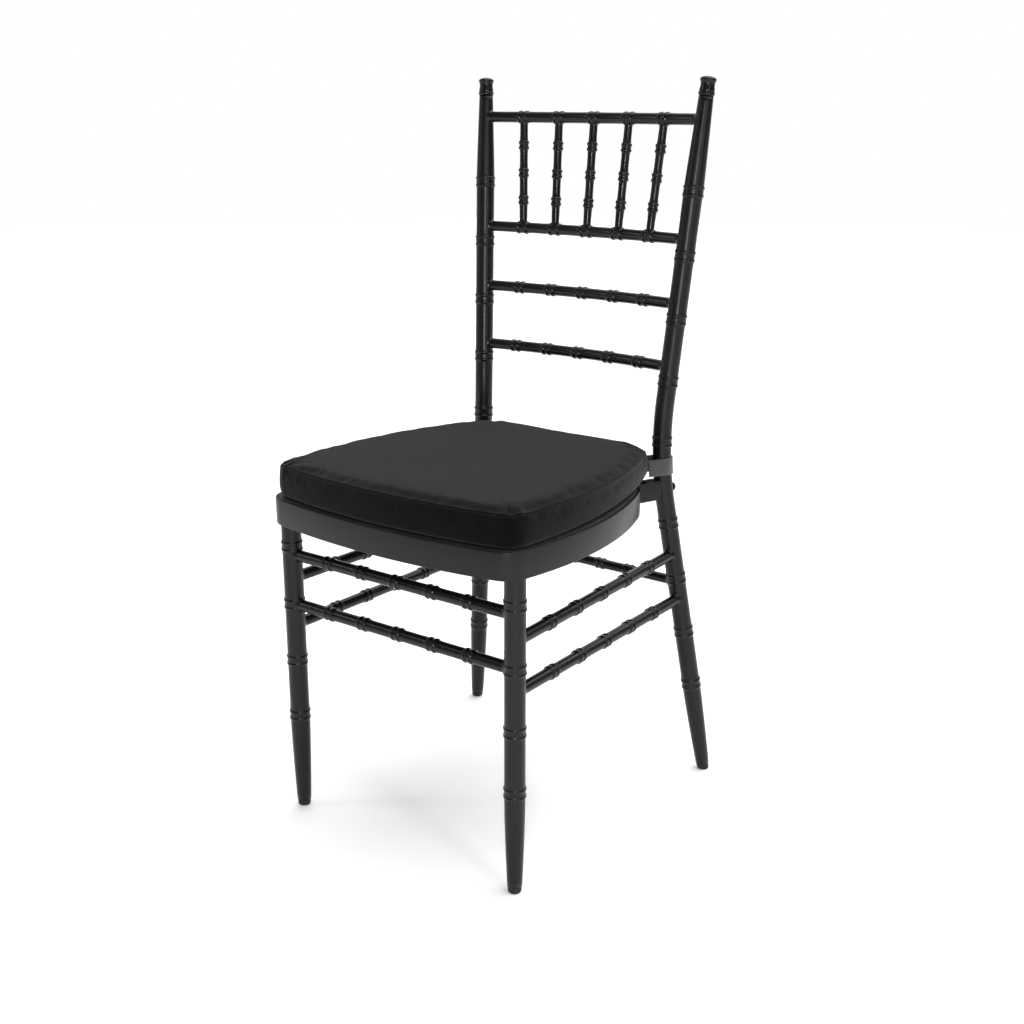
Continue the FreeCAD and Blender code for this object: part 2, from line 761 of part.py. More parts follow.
# Cushion: drawn in at the bottom, full at the belly, a sewn edge above and a low crown

cushion_floor = size["apron_bottom"] + size["apron_height"] + size["cushion_clearance"]
cushion = new_body("Cushion", Placement(Vector(0, 0, cushion_floor), Rotation()))
slope = size["cushion_slope"]
levels = [
    plan_sketch(cushion, "CushionBottom", "cushion", "0", ("cushion_tuck",)),
    plan_sketch(cushion, "CushionTuck", "cushion", "cushion_tuck_height", ("cushion_roll", "cushion_roll")),
    plan_sketch(cushion, "CushionBelly", "cushion", "cushion_belly"),
    plan_sketch(cushion, "CushionEdge", "cushion", "cushion_side_height", ("cushion_roll",), slope=slope),
    plan_sketch(cushion, "CrownShoulder", "cushion", "cushion_side_height + crown_shoulder",
                share="crown_shoulder_share", slope=slope),
    plan_sketch(cushion, "CrownTop", "cushion", "cushion_side_height + crown_rise",
                share="crown_share", slope=slope),
]
walls = cushion.newObject("PartDesign::AdditiveLoft", "CushionForm")
walls.Profile = levels[0]
walls.Sections = levels[1:]
walls.Ruled = True
cushion.Tip = walls
keep(cushion, "cushion")

# Straps: half a turn round each post and two tails to the cushion's rear corner

strap_point, strap_axis = post_point(size["strap_middle"])
cushion_rear = plan("cushion")["rear"][0]
towards = Vector(cushion_rear.x - strap_point.x, cushion_rear.y - strap_point.y, 0)
strap_frame = facing(strap_point, strap_axis, towards)
strap_base = strap_frame.multiply(Placement(Vector(0, 0, -size["strap_width"] / 2), Rotation()))


def strap_form(name, half_width):
    """Solid round the post with a straight tail to the cushion, as wide as a named formula doubled."""
    round_part = prism(name + "Round", POST_SIDES, half_width, strap_base, "strap_width")
    tail = doc.addObject("Part::Box", name + "Tail")
    tail.Length = towards.Length
    bind(tail, "Width", f"2 * ({half_width})")
    bind(tail, "Height", "strap_width")
    reach = size["post_radius"] + size["strap_clearance"]
    if "thickness" in half_width:
        reach += size["strap_thickness"]
    tail.Placement = strap_base.multiply(Placement(Vector(0, -reach, 0), Rotation()))
    return join(name, round_part, tail)


outer = strap_form("StrapOuter", "post_radius + strap_clearance + strap_thickness")
inner = strap_form("StrapInner", "post_radius + strap_clearance")
room_floor = cushion_floor - size["cushion_side_height"]
room = new_body("CushionRoom", Placement(Vector(0, 0, room_floor), Rotation()))
pad(room, "CushionRoomPad", plan_sketch(room, "CushionRoomPlan", "cushion", "0", outset="cushion_clearance"),
    "cushion_side_height * 3")
keep_pair(cut("StrapTrimmed", outer, inner, room), "cushion_strap")

doc.recompute()

# Every feature must have worked before anything is written

failed = [thing.Label for thing in doc.Objects if "Invalid" in thing.State or "Error" in thing.State]
for node in nodes:
    if node.Shape.isNull() or not node.Shape.isValid() or len(node.Shape.Solids) != 1:
        failed.append(node.Label + " is not one valid solid")
if failed:
    raise RuntimeError(", ".join(failed))

os.makedirs("parts", exist_ok=True)
for node in nodes:
    node.Shape.exportStep(f"parts/{node.Label}.step")
print(f"{len(nodes)} pieces written")
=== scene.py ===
import math

import bmesh
import bpy
from bpy.props import FloatProperty, FloatVectorProperty, IntProperty, PointerProperty
from mathutils import Matrix, Vector


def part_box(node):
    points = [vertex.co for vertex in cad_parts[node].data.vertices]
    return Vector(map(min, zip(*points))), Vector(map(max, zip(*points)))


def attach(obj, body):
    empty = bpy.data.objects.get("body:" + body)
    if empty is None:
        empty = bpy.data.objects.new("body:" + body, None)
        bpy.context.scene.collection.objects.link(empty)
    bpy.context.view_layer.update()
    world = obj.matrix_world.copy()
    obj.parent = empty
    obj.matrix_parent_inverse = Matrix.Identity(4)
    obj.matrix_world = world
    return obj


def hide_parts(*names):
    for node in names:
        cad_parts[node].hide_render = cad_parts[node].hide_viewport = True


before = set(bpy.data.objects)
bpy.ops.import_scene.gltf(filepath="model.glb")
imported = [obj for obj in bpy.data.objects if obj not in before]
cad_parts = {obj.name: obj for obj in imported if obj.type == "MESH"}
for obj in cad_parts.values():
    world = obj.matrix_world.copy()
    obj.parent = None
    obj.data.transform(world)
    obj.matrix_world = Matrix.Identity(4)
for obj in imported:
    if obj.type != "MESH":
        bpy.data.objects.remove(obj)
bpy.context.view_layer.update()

bl_info = {
    "name": "Chiavari chair dressing",
    "version": (1, 0, 0),
    "blender": (4, 5, 0),
    "location": "View3D > Sidebar > Chair",
    "description": "Builds the visible pieces, materials, lights and camera of a chiavari chair",
    "category": "Add Mesh",
}

MM = 0.001

# Sizes in millimetres. Places are the CAD model's; the tubes' radii are up to 0.4 mm more than there.

POST_FOOT = Vector((200.3, 218.7, 0.0))
POST_BEND = Vector((143.0, 164.9, 455.2))
POST_TOP = Vector((169.7, 209.05, 920.0))
BEND_RADIUS = 490.0
POST_RADIUS = 12.1
POST_TIP_RADIUS = 9.1
LEG_RADIUS = 12.3
FOOT_RADIUS = 9.0
FOOT_TAPER_HEIGHT = 115.0
TIP_TAPER_LENGTH = 100.0
GLIDE_HEIGHT = 8.0
LEG_AT = Vector((173.49, -186.02, 0.0))
LEG_TOP = 414.7
LOWER_RINGS = [131.0 + 76.6 * number for number in range(4)]
UPPER_RINGS = [471.0 + 78.3 * number for number in range(5)]
BEAD_HEIGHT = 10.5
WAIST_HEIGHT = 6.5
CAP_HEIGHT = 6.5
STRETCHER_RADIUS = 7.3
REAR_RADIUS = 6.5
RAIL_RADIUS = 7.0
RAIL_BOW = 13.0
SPINDLE_RADIUS = 5.2
TOP_RAIL_HEIGHT = 869.2
SPINDLE_RAIL_HEIGHT = 726.0
LADDER_UPPER_HEIGHT = 646.2
LADDER_LOWER_HEIGHT = 567.0
APRON_BOTTOM = 394.0
APRON_TOP = 427.0
APRON_THICKNESS = 2.5
CUSHION_FLOOR = 427.3
CUSHION_SIDE = 36.0
CUSHION_SLOPE = math.radians(0.9)
APRON = {"front_reach": 227.0, "front_radius": 882.7, "corner": 30.0, "side_reach": 200.0,
         "side_forward": 86.1, "side_radius": 447.0, "back_corner": 70.0, "back_reach": 125.0}
CUSHION = {"front_reach": 223.0, "front_radius": 830.0, "corner": 33.0, "side_reach": 194.0,
           "side_forward": 100.0, "side_radius": 600.0, "back_corner": 52.0, "back_reach": 170.0}


# The post's centre line

LOWER_AXIS = (POST_BEND - POST_FOOT).normalized()
UPPER_AXIS = (POST_TOP - POST_BEND).normalized()
BEND_SIDE = (UPPER_AXIS - LOWER_AXIS * LOWER_AXIS.dot(UPPER_AXIS)).normalized()
TANGENT = BEND_RADIUS * math.tan(LOWER_AXIS.angle(UPPER_AXIS) / 2)
ARC_START = POST_BEND - LOWER_AXIS * TANGENT
ARC_END = POST_BEND + UPPER_AXIS * TANGENT
TUBE_TOP = POST_TOP.z - (BEAD_HEIGHT + WAIST_HEIGHT + CAP_HEIGHT) * UPPER_AXIS.z


def post_point(height):
    """Point of the right-hand post's centre line at a height, and the line's direction there."""
    if height < ARC_START.z:
        return POST_FOOT + LOWER_AXIS * (height / LOWER_AXIS.z), LOWER_AXIS.copy()
    if height > ARC_END.z:
        return ARC_END + UPPER_AXIS * ((height - ARC_END.z) / UPPER_AXIS.z), UPPER_AXIS.copy()
    rise = (height - ARC_START.z) / BEND_RADIUS - BEND_SIDE.z
    turn = math.asin(rise / math.hypot(LOWER_AXIS.z, BEND_SIDE.z)) + math.atan2(BEND_SIDE.z, LOWER_AXIS.z)
    point = (ARC_START + BEND_SIDE * (BEND_RADIUS * (1 - math.cos(turn)))
             + LOWER_AXIS * (BEND_RADIUS * math.sin(turn)))
    return point, BEND_SIDE * math.sin(turn) + LOWER_AXIS * math.cos(turn)


def leg_point(height):
    """Point of the right-hand leg's centre line at a height, and the line's direction there."""
    return Vector((LEG_AT.x, LEG_AT.y, height)), Vector((0, 0, 1))


def rail_arc(height):
    """Centre, radius and half span of a bowed rail at a height."""
    end = post_point(height)[0]
    radius = (end.x ** 2 + RAIL_BOW ** 2) / (2 * RAIL_BOW)
    return Vector((0, end.y + RAIL_BOW - radius, height)), radius, end.x


def rail_point(height, aside):
    """Point of a rail's centre line at a distance to the side, and the line's direction there."""
    centre, radius, _ = rail_arc(height)
    turn = math.asin(aside / radius)
    outwards = Vector((math.sin(turn), math.cos(turn), 0))
    return centre + outwards * radius, Vector((outwards.y, -outwards.x, 0))


# Mesh helpers

def new_piece(name, vertices, faces, smooth=True):
    """Object from points in millimetres."""
    mesh = bpy.data.meshes.new(name)
    mesh.from_pydata([Vector(point) * MM for point in vertices], [], faces)
    mesh.polygons.foreach_set("use_smooth", [smooth] * len(mesh.polygons))
    mesh.validate()
    mesh.update()
    piece = bpy.data.objects.new(name, mesh)
    bpy.context.scene.collection.objects.link(piece)
    return piece


def cross_frame(direction, hint):
    """Two unit vectors square to a direction, the first in the hint's plane."""
    second = direction.cross(hint).normalized()
    return second.cross(direction).normalized(), second


def skin_rings(name, rings):
    """Closed tube from rings of points, each with as many points as the next."""
    count = len(rings[0])
    vertices = [point for ring in rings for point in ring]
    faces = []
    for level in range(len(rings) - 1):
        for i in range(count):
            j = (i + 1) % count
            base = level * count
            faces.append((base + i, base + j, base + count + j, base + count + i))
    for level, flip in ((0, True), (len(rings) - 1, False)):
        centre = sum(rings[level], Vector()) / count
        vertices.append(centre)
        tip = len(vertices) - 1
        base = level * count
        for i in range(count):
            j = (i + 1) % count
            faces.append((base + j, base + i, tip) if flip else (base + i, base + j, tip))
    return new_piece(name, vertices, faces)


def mirrored(piece, name):
    """The same piece on the other side of X = 0."""
    twin = piece.copy()
    twin.data = piece.data.copy()
    twin.name = name
    twin.data.name = name
    twin.data.transform(Matrix.Scale(-1, 4, Vector((1, 0, 0))))
    twin.data.flip_normals()
    bpy.context.scene.collection.objects.link(twin)
    return twin


def bell(distance, half_width):
    """Smooth bump: one at its middle, nothing beyond the half width."""
    if abs(distance) >= half_width:
        return 0.0
    return (0.5 + 0.5 * math.cos(math.pi * distance / half_width)) ** 0.8


def ring_shape(distance, look, slim):
    """How far a double bamboo ring stands out at a distance from its middle; slim rings are the rods'."""
    rise = look.slim_ring_rise if slim else look.ring_rise
    gap = look.slim_ridge_gap if slim else look.ridge_gap
    half = look.slim_ridge_width if slim else look.ridge_width
    ridges = bell(distance - gap / 2, half) + bell(distance + gap / 2, half)
    swell = bell(distance, gap * 1.3) * look.swell
    return rise * min(1.0, ridges + swell)


def ring_stations(start, end, middles, step, reach=9.0, fine=0.55):
    """Stations along a tube, close together at the rings."""
    stations = {round(start, 4), round(end, 4)}
    count = max(2, int((end - start) / step))
    for number in range(count + 1):
        place = start + (end - start) * number / count
        if all(abs(place - middle) > reach for middle in middles):
            stations.add(round(place, 4))
    steps = int(2 * reach / fine)
    for middle in middles:
        for number in range(steps + 1):
            place = middle - reach + 2 * reach * number / steps
            if start < place < end:
                stations.add(round(place, 4))
    return sorted(stations)


def coat(piece, node, material):
    """Gives a piece its material, parents it to the root body and hides the CAD node that it stands for."""
    piece.data.materials.clear()
    piece.data.materials.append(bpy.data.materials[material])
    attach(piece, "root")
    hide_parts(node)
    return piece


# Posts and legs

def upright(name, place, hint, stations, radius_at, segments):
    """Tube whose rings are square to a curved centre line."""
    rings = []
    for height in stations:
        point, direction = place(height)
        first, second = cross_frame(direction, hint)
        radius = radius_at(height)
        ring = []
        for i in range(segments):
            turn = 2 * math.pi * i / segments
            ring.append(point + (first * math.cos(turn) + second * math.sin(turn)) * radius)
        rings.append(ring)
    return skin_rings(name, rings)


def foot_taper(height, full):
    """Radius of a tube's tapered foot."""
    share = (height - GLIDE_HEIGHT) / (FOOT_TAPER_HEIGHT - GLIDE_HEIGHT)
    eased = min(1.0, max(0.0, share))
    return FOOT_RADIUS + (full - FOOT_RADIUS) * (1 - (1 - eased) ** 1.35)


def post_radius(height, look):
    """Radius of a post at a height: tapered foot, tapered tip and rings."""
    radius = foot_taper(height, POST_RADIUS)
    top = max(0.0, (height - (TUBE_TOP - TIP_TAPER_LENGTH)) / TIP_TAPER_LENGTH)
    radius = radius + (POST_TIP_RADIUS - POST_RADIUS) * top ** 1.1
    for middle in LOWER_RINGS + UPPER_RINGS:
        radius += ring_shape(height - middle, look, False)
    return radius


def leg_radius(height, look):
    """Radius of a front leg at a height: tapered foot and rings."""
    radius = foot_taper(height, LEG_RADIUS)
    for middle in LOWER_RINGS:
        radius += ring_shape(height - middle, look, False)
    return radius


# Rods between uprights, with a small weld at each end

def meet(point, offset, along, axis, radius):
    """Distance along a rod's line from an upright's axis to the upright's surface."""
    a = along - axis * along.dot(axis)
    b = offset - axis * offset.dot(axis)
    qa, qb, qc = a.dot(a), 2 * a.dot(b), b.dot(b) - radius ** 2
    root = qb * qb - 4 * qa * qc
    if root <= 0:
        return radius * 0.8
    return (-qb + math.sqrt(root)) / (2 * qa)


def rod(name, line, length, ends, base, middles, look, segments, flare=0.0, hint=Vector((0, 0, 1))):
    """Ringed rod along a line, with a weld at each end.

    ends holds the axis and radius of the two tubes that it meets, middles the places of its rings.
    """
    weld = look.weld_size
    weld_steps = [(-1.2, 1.0), (0.0, 1.0), (0.2, 0.55), (0.5, 0.22), (1.0, 0.0)]
    rings = []
    start_point, start_dir = line(0.0)
    end_point, end_dir = line(length)
    inner_start = ends[0][1] + weld * 1.4
    inner_end = length - ends[1][1] - weld * 1.4

    turns = [(math.cos(2 * math.pi * i / segments), math.sin(2 * math.pi * i / segments))
             for i in range(segments)]

    def ring_at(place, radius):
        point, direction = line(place)
        first, second = cross_frame(direction, hint)
        return [point + (first * x + second * y) * radius for x, y in turns]

    def weld_ring(place, radius, shift):
        ring = []
        first_end, second_end = cross_frame(start_dir if shift == "start" else end_dir, hint)
        for x, y in turns:
            offset = (first_end * x + second_end * y) * radius
            if shift == "start":
                reach = meet(start_point, offset, start_dir, ends[0][0], ends[0][1]) + place
                point, direction = line(reach)
            else:
                reach = meet(end_point, offset, -end_dir, ends[1][0], ends[1][1]) + place
                point, direction = line(length - reach)
            first, second = cross_frame(direction, hint)
            ring.append(point + (first * x + second * y) * radius)
        return ring

    def radius_at(place):
        radius = base
        for middle in middles:
            radius += ring_shape(place - middle, look, True)
            if flare:
                radius += flare * bell(place - middle, 17.0)
        return radius

    for along, rise in weld_steps:
        rings.append(weld_ring(along * weld, base + rise * weld * 0.75, "start"))
    for place in ring_stations(inner_start, inner_end, middles, 12.0):
        rings.append(ring_at(place, radius_at(place)))
    for along, rise in reversed(weld_steps):
        rings.append(weld_ring(along * weld, base + rise * weld * 0.75, "end"))
    return skin_rings(name, rings)


def straight_line(start, end):
    """Function that gives the point and direction at a place along a straight line, and its length."""
    direction = (end - start).normalized()

    def line(place):
        return start + direction * place, direction
    return line, (end - start).length


def rail_line(height):
    """Function that gives the point and direction at a place along a bowed rail, and its length."""
    centre, radius, half = rail_arc(height)
    span = math.asin(half / radius) * 2

    def line(place):
        turn = place / radius - span / 2
        outwards = Vector((math.sin(turn), math.cos(turn), 0))
        return centre + outwards * radius, Vector((outwards.y, -outwards.x, 0))
    return line, radius * span


def flipped(vector):
    """The same vector on the other side of X = 0."""
    return Vector((-vector.x, vector.y, vector.z))


# Seat outline

BACK_STEPS = 16


def outline(plan, inset=0.0, share=1.0, dense=1):
    """Points and outward directions of a seat outline, anticlockwise from the front's middle."""
    front = Vector((0, plan["front_radius"] - plan["front_reach"]))
    side = Vector((plan["side_reach"] - plan["side_radius"], -plan["side_forward"]))
    near = plan["front_radius"] - plan["corner"]
    far = plan["side_radius"] - plan["corner"]
    gap = side - front
    along = (near ** 2 - far ** 2 + gap.length_squared) / (2 * gap.length)
    across = math.sqrt(near ** 2 - along ** 2)
    unit = gap.normalized()
    corner = front + unit * along + Vector((-unit.y, unit.x)) * across
    if corner.x < front.x:
        corner = front + unit * along - Vector((-unit.y, unit.x)) * across
    rear_y = plan["back_reach"] - plan["back_corner"]
    rear_x = side.x + math.sqrt((plan["side_radius"] - plan["back_corner"]) ** 2 - (rear_y - side.y) ** 2)
    rear = Vector((rear_x, rear_y))

    def heading(start, end):
        return math.atan2(end.y - start.y, end.x - start.x)

    to_corner = heading(front, corner)
    to_side = heading(side, corner)
    to_rear = heading(side, rear)
    arcs = [
        (front, plan["front_radius"], -math.pi / 2, to_corner, 34),
        (corner, plan["corner"], to_corner, to_side, 18),
        (side, plan["side_radius"], to_side, to_rear, 46),
        (rear, plan["back_corner"], to_rear, math.pi / 2, 18),
    ]
    half = []
    for centre, radius, start, end, count in arcs:
        steps = count * dense
        for number in range(steps):
            turn = start + (end - start) * number / steps
            normal = Vector((math.cos(turn), math.sin(turn)))
            half.append((centre * share + normal * (radius * share - inset), normal))
    steps = BACK_STEPS * dense
    for number in range(steps):
        x = rear.x * share * (1 - number / steps)
        half.append((Vector((x, plan["back_reach"] * share - inset)), Vector((0, 1))))
    back = (Vector((0, plan["back_reach"] * share - inset)), Vector((0, 1)))
    other = [(Vector((-p.x, p.y)), Vector((-n.x, n.y))) for p, n in reversed(half[1:])]
    return half + [back] + other


# Materials

def group_socket(group, name, kind, way, default=None, low=None, high=None):
    socket = group.interface.new_socket(name=name, in_out=way, socket_type=kind)
    if default is not None:
        socket.default_value = default
    if low is not None:
        socket.min_value = low
        socket.max_value = high
    return socket


def add(tree, kind, place, **inputs):
    """Node with its input values set by socket name."""
    node = tree.nodes.new(kind)
    node.location = place
    for name, value in inputs.items():
        node.inputs[name.replace("_", " ")].default_value = value
    return node


def math_node(tree, operation, place, first, second=None, clamp=False):
    node = tree.nodes.new("ShaderNodeMath")
    node.operation = operation
    node.use_clamp = clamp
    node.location = place
    for index, value in enumerate((first, second)):
        if value is None:
            continue
        if isinstance(value, (int, float)):
            node.inputs[index].default_value = value
        else:
            tree.links.new(value, node.inputs[index])
    return node.outputs[0]


def orange_peel_group():
    """Powder coat: fine orange peel, and a slow change of gloss and shade."""
    tree = bpy.data.node_groups.new("orange_peel", "ShaderNodeTree")
    group_socket(tree, "Grain", "NodeSocketFloat", "INPUT", 900.0, 1.0, 5000.0)
    group_socket(tree, "Low roughness", "NodeSocketFloat", "INPUT", 0.3, 0.0, 1.0)
    group_socket(tree, "High roughness", "NodeSocketFloat", "INPUT", 0.4, 0.0, 1.0)
    group_socket(tree, "Relief", "NodeSocketFloat", "INPUT", 0.05, 0.0, 1.0)
    group_socket(tree, "Roughness", "NodeSocketFloat", "OUTPUT")
    group_socket(tree, "Shade", "NodeSocketFloat", "OUTPUT")
    group_socket(tree, "Normal", "NodeSocketVector", "OUTPUT")
    start = tree.nodes.new("NodeGroupInput")
    start.location = (-900, 0)
    end = tree.nodes.new("NodeGroupOutput")
    end.location = (600, 0)
    place = tree.nodes.new("ShaderNodeTexCoord")
    place.location = (-900, -300)
    slow = add(tree, "ShaderNodeTexNoise", (-600, 200), Scale=22.0, Detail=4.0, Roughness=0.6)
    fine = add(tree, "ShaderNodeTexNoise", (-600, -200), Detail=2.0, Roughness=0.5)
    tree.links.new(place.outputs["Object"], slow.inputs["Vector"])
    tree.links.new(place.outputs["Object"], fine.inputs["Vector"])
    tree.links.new(start.outputs["Grain"], fine.inputs["Scale"])
    blend = tree.nodes.new("ShaderNodeMapRange")
    blend.location = (-250, 200)
    blend.inputs["From Min"].default_value = 0.3
    blend.inputs["From Max"].default_value = 0.7
    tree.links.new(slow.outputs["Fac"], blend.inputs["Value"])
    tree.links.new(start.outputs["Low roughness"], blend.inputs["To Min"])
    tree.links.new(start.outputs["High roughness"], blend.inputs["To Max"])
    bump = add(tree, "ShaderNodeBump", (200, -200), Distance=0.0004)
    tree.links.new(start.outputs["Relief"], bump.inputs["Strength"])
    tree.links.new(fine.outputs["Fac"], bump.inputs["Height"])
    tree.links.new(blend.outputs["Result"], end.inputs["Roughness"])
    tree.links.new(slow.outputs["Fac"], end.inputs["Shade"])
    tree.links.new(bump.outputs["Normal"], end.inputs["Normal"])
    return tree


def weave_group():
    """Plain weave, one pattern for faces that look up or down and one for the walls."""
    tree = bpy.data.node_groups.new("plain_weave", "ShaderNodeTree")
    group_socket(tree, "Threads", "NodeSocketFloat", "INPUT", 5200.0, 1.0, 50000.0)
    group_socket(tree, "Relief", "NodeSocketFloat", "INPUT", 0.5, 0.0, 1.0)
    group_socket(tree, "Height", "NodeSocketFloat", "OUTPUT")
    group_socket(tree, "Slub", "NodeSocketFloat", "OUTPUT")
    group_socket(tree, "Normal", "NodeSocketVector", "OUTPUT")
    start = tree.nodes.new("NodeGroupInput")
    start.location = (-1400, 0)
    end = tree.nodes.new("NodeGroupOutput")
    end.location = (900, 0)
    place = tree.nodes.new("ShaderNodeTexCoord")
    place.location = (-1400, -300)
    split = tree.nodes.new("ShaderNodeSeparateXYZ")
    split.location = (-1200, -300)
    tree.links.new(place.outputs["Object"], split.inputs[0])
    facing = tree.nodes.new("ShaderNodeSeparateXYZ")
    facing.location = (-1200, -600)
    tree.links.new(place.outputs["Normal"], facing.inputs[0])
    up = math_node(tree, "ABSOLUTE", (-1000, -600), facing.outputs[2])
    is_top = math_node(tree, "GREATER_THAN", (-800, -600), up, 0.6)
    flat_side = math_node(tree, "ADD", (-1000, -400), split.outputs[0], split.outputs[1])
    wave_x = math_node(tree, "SINE", (-600, 100),
                       math_node(tree, "MULTIPLY", (-800, 100), split.outputs[0], start.outputs["Threads"]))
    wave_y = math_node(tree, "SINE", (-600, 0),
                       math_node(tree, "MULTIPLY", (-800, 0), split.outputs[1], start.outputs["Threads"]))
    wave_z = math_node(tree, "SINE", (-600, -100),
                       math_node(tree, "MULTIPLY", (-800, -100), split.outputs[2], start.outputs["Threads"]))
    wave_s = math_node(tree, "SINE", (-600, -200),
                       math_node(tree, "MULTIPLY", (-800, -200), flat_side, start.outputs["Threads"]))
    top = math_node(tree, "MULTIPLY", (-400, 50), wave_x, wave_y)
    wall = math_node(tree, "MULTIPLY", (-400, -150), wave_z, wave_s)
    pick = tree.nodes.new("ShaderNodeMix")
    pick.location = (-200, 0)
    tree.links.new(is_top, pick.inputs["Factor"])
    tree.links.new(wall, pick.inputs[2])
    tree.links.new(top, pick.inputs[3])
    slub = add(tree, "ShaderNodeTexNoise", (-600, -500), Scale=1400.0, Detail=3.0, Roughness=0.7)
    tree.links.new(place.outputs["Object"], slub.inputs["Vector"])
    both = math_node(tree, "MULTIPLY_ADD", (100, 0), pick.outputs[0], 0.5)
    both_node = both.node
    tree.links.new(slub.outputs["Fac"], both_node.inputs[2])
    bump = add(tree, "ShaderNodeBump", (400, -200), Distance=0.0003)
    tree.links.new(start.outputs["Relief"], bump.inputs["Strength"])
    tree.links.new(both, bump.inputs["Height"])
    tree.links.new(both, end.inputs["Height"])
    tree.links.new(slub.outputs["Fac"], end.inputs["Slub"])
    tree.links.new(bump.outputs["Normal"], end.inputs["Normal"])
    return tree


def new_material(name):
    material = bpy.data.materials.new(name)
    material.use_nodes = True
    tree = material.node_tree
    shader = tree.nodes["Principled BSDF"]
    shader.location = (300, 0)
    tree.nodes["Material Output"].location = (700, 0)
    return material, tree, shader


def ramp(tree, place, source, stops):
    """Colour ramp fed by a value; stops are (position, colour) pairs."""
    node = tree.nodes.new("ShaderNodeValToRGB")
    node.location = place
    for index, (position, colour) in enumerate(stops):
        element = node.color_ramp.elements[index] if index < 2 else node.color_ramp.elements.new(position)
        element.position = position
        element.color = (*colour, 1.0)
    tree.links.new(source, node.inputs["Fac"])
    return node.outputs["Color"]


def shades(colour, low, high):
    """A colour darker and lighter by two factors."""
    return tuple(c * low for c in colour), tuple(c * high for c in colour)


def coat_material(name, colour, low, high, peel):
    material, tree, shader = new_material(name)
    group = tree.nodes.new("ShaderNodeGroup")
    group.node_tree = peel
    group.location = (-200, 0)
    group.inputs["Grain"].default_value = 900.0
    group.inputs["Low roughness"].default_value = low
    group.inputs["High roughness"].default_value = high
    group.inputs["Relief"].default_value = 0.12
    dark, light = shades(colour, 0.8, 1.25)
    tint = ramp(tree, (0, 250), group.outputs["Shade"], [(0.3, dark), (0.7, light)])
    tree.links.new(tint, shader.inputs["Base Color"])
    tree.links.new(group.outputs["Roughness"], shader.inputs["Roughness"])
    tree.links.new(group.outputs["Normal"], shader.inputs["Normal"])
    shader.inputs["Specular IOR Level"].default_value = 0.24
    return material


def fabric_material(look, weave):
    material, tree, shader = new_material("charcoal_fabric")
    group = tree.nodes.new("ShaderNodeGroup")
    group.node_tree = weave
    group.location = (-300, 0)
    group.inputs["Threads"].default_value = 5200.0
    group.inputs["Relief"].default_value = 0.45
    dark, light = shades(look.fabric_colour, 0.62, 1.35)
    tint = ramp(tree, (0, 200), group.outputs["Height"], [(0.1, dark), (0.95, light)])
    tree.links.new(tint, shader.inputs["Base Color"])
    tree.links.new(group.outputs["Normal"], shader.inputs["Normal"])
    shader.inputs["Roughness"].default_value = 0.92
    shader.inputs["Specular IOR Level"].default_value = 0.05
    shader.inputs["Sheen Weight"].default_value = look.fabric_sheen
    shader.inputs["Sheen Roughness"].default_value = 0.45
    shader.inputs["Sheen Tint"].default_value = (0.9, 0.9, 0.95, 1.0)
    return material


def strap_material(weave):
    material, tree, shader = new_material("ribbed_elastic")
    group = tree.nodes.new("ShaderNodeGroup")
    group.node_tree = weave
    group.location = (-300, 0)
    group.inputs["Threads"].default_value = 4200.0
    group.inputs["Relief"].default_value = 0.6
    tint = ramp(tree, (0, 200), group.outputs["Height"],
                [(0.1, (0.02, 0.022, 0.024)), (0.95, (0.06, 0.065, 0.07))])
    tree.links.new(tint, shader.inputs["Base Color"])
    tree.links.new(group.outputs["Normal"], shader.inputs["Normal"])
    shader.inputs["Roughness"].default_value = 0.8
    shader.inputs["Sheen Weight"].default_value = 0.3
    return material


def wood_material():
    # The board's near-black tint is painted shade: it darkens the board's rim to stand in for the shadow in
    # the gap between cushion and apron. The grain is the wood's own.
    material, tree, shader = new_material("plywood_painted_shade")
    place = tree.nodes.new("ShaderNodeTexCoord")
    place.location = (-900, 0)
    stretch = tree.nodes.new("ShaderNodeMapping")
    stretch.location = (-700, 0)
    stretch.inputs["Scale"].default_value = (6.0, 90.0, 300.0)
    tree.links.new(place.outputs["Object"], stretch.inputs["Vector"])
    grain = add(tree, "ShaderNodeTexNoise", (-500, 0), Scale=1.0, Detail=6.0, Roughness=0.65, Distortion=0.8)
    tree.links.new(stretch.outputs["Vector"], grain.inputs["Vector"])
    # Near-black colours: painted shade for the gap under the cushion, varied by the wood's grain.
    tint = ramp(tree, (-200, 100), grain.outputs["Fac"],
                [(0.3, (0.006, 0.0055, 0.005)), (0.7, (0.022, 0.02, 0.018))])
    tree.links.new(tint, shader.inputs["Base Color"])
    bump = add(tree, "ShaderNodeBump", (0, -200), Strength=0.3, Distance=0.0004)
    tree.links.new(grain.outputs["Fac"], bump.inputs["Height"])
    tree.links.new(bump.outputs["Normal"], shader.inputs["Normal"])
    shader.inputs["Roughness"].default_value = 0.62
    return material


def zinc_material():
    material, tree, shader = new_material("zinc_steel")
    place = tree.nodes.new("ShaderNodeTexCoord")
    place.location = (-900, 0)
    spangle = add(tree, "ShaderNodeTexNoise", (-600, 0), Scale=700.0, Detail=3.0, Roughness=0.6)
    tree.links.new(place.outputs["Object"], spangle.inputs["Vector"])
    tint = ramp(tree, (-200, 100), spangle.outputs["Fac"],
                [(0.3, (0.35, 0.35, 0.36)), (0.7, (0.6, 0.6, 0.6))])
    rough = tree.nodes.new("ShaderNodeMapRange")
    rough.location = (-200, -200)
    rough.inputs["To Min"].default_value = 0.28
    rough.inputs["To Max"].default_value = 0.5
    tree.links.new(spangle.outputs["Fac"], rough.inputs["Value"])
    tree.links.new(tint, shader.inputs["Base Color"])
    tree.links.new(rough.outputs["Result"], shader.inputs["Roughness"])
    shader.inputs["Metallic"].default_value = 1.0
    return material


# Settings

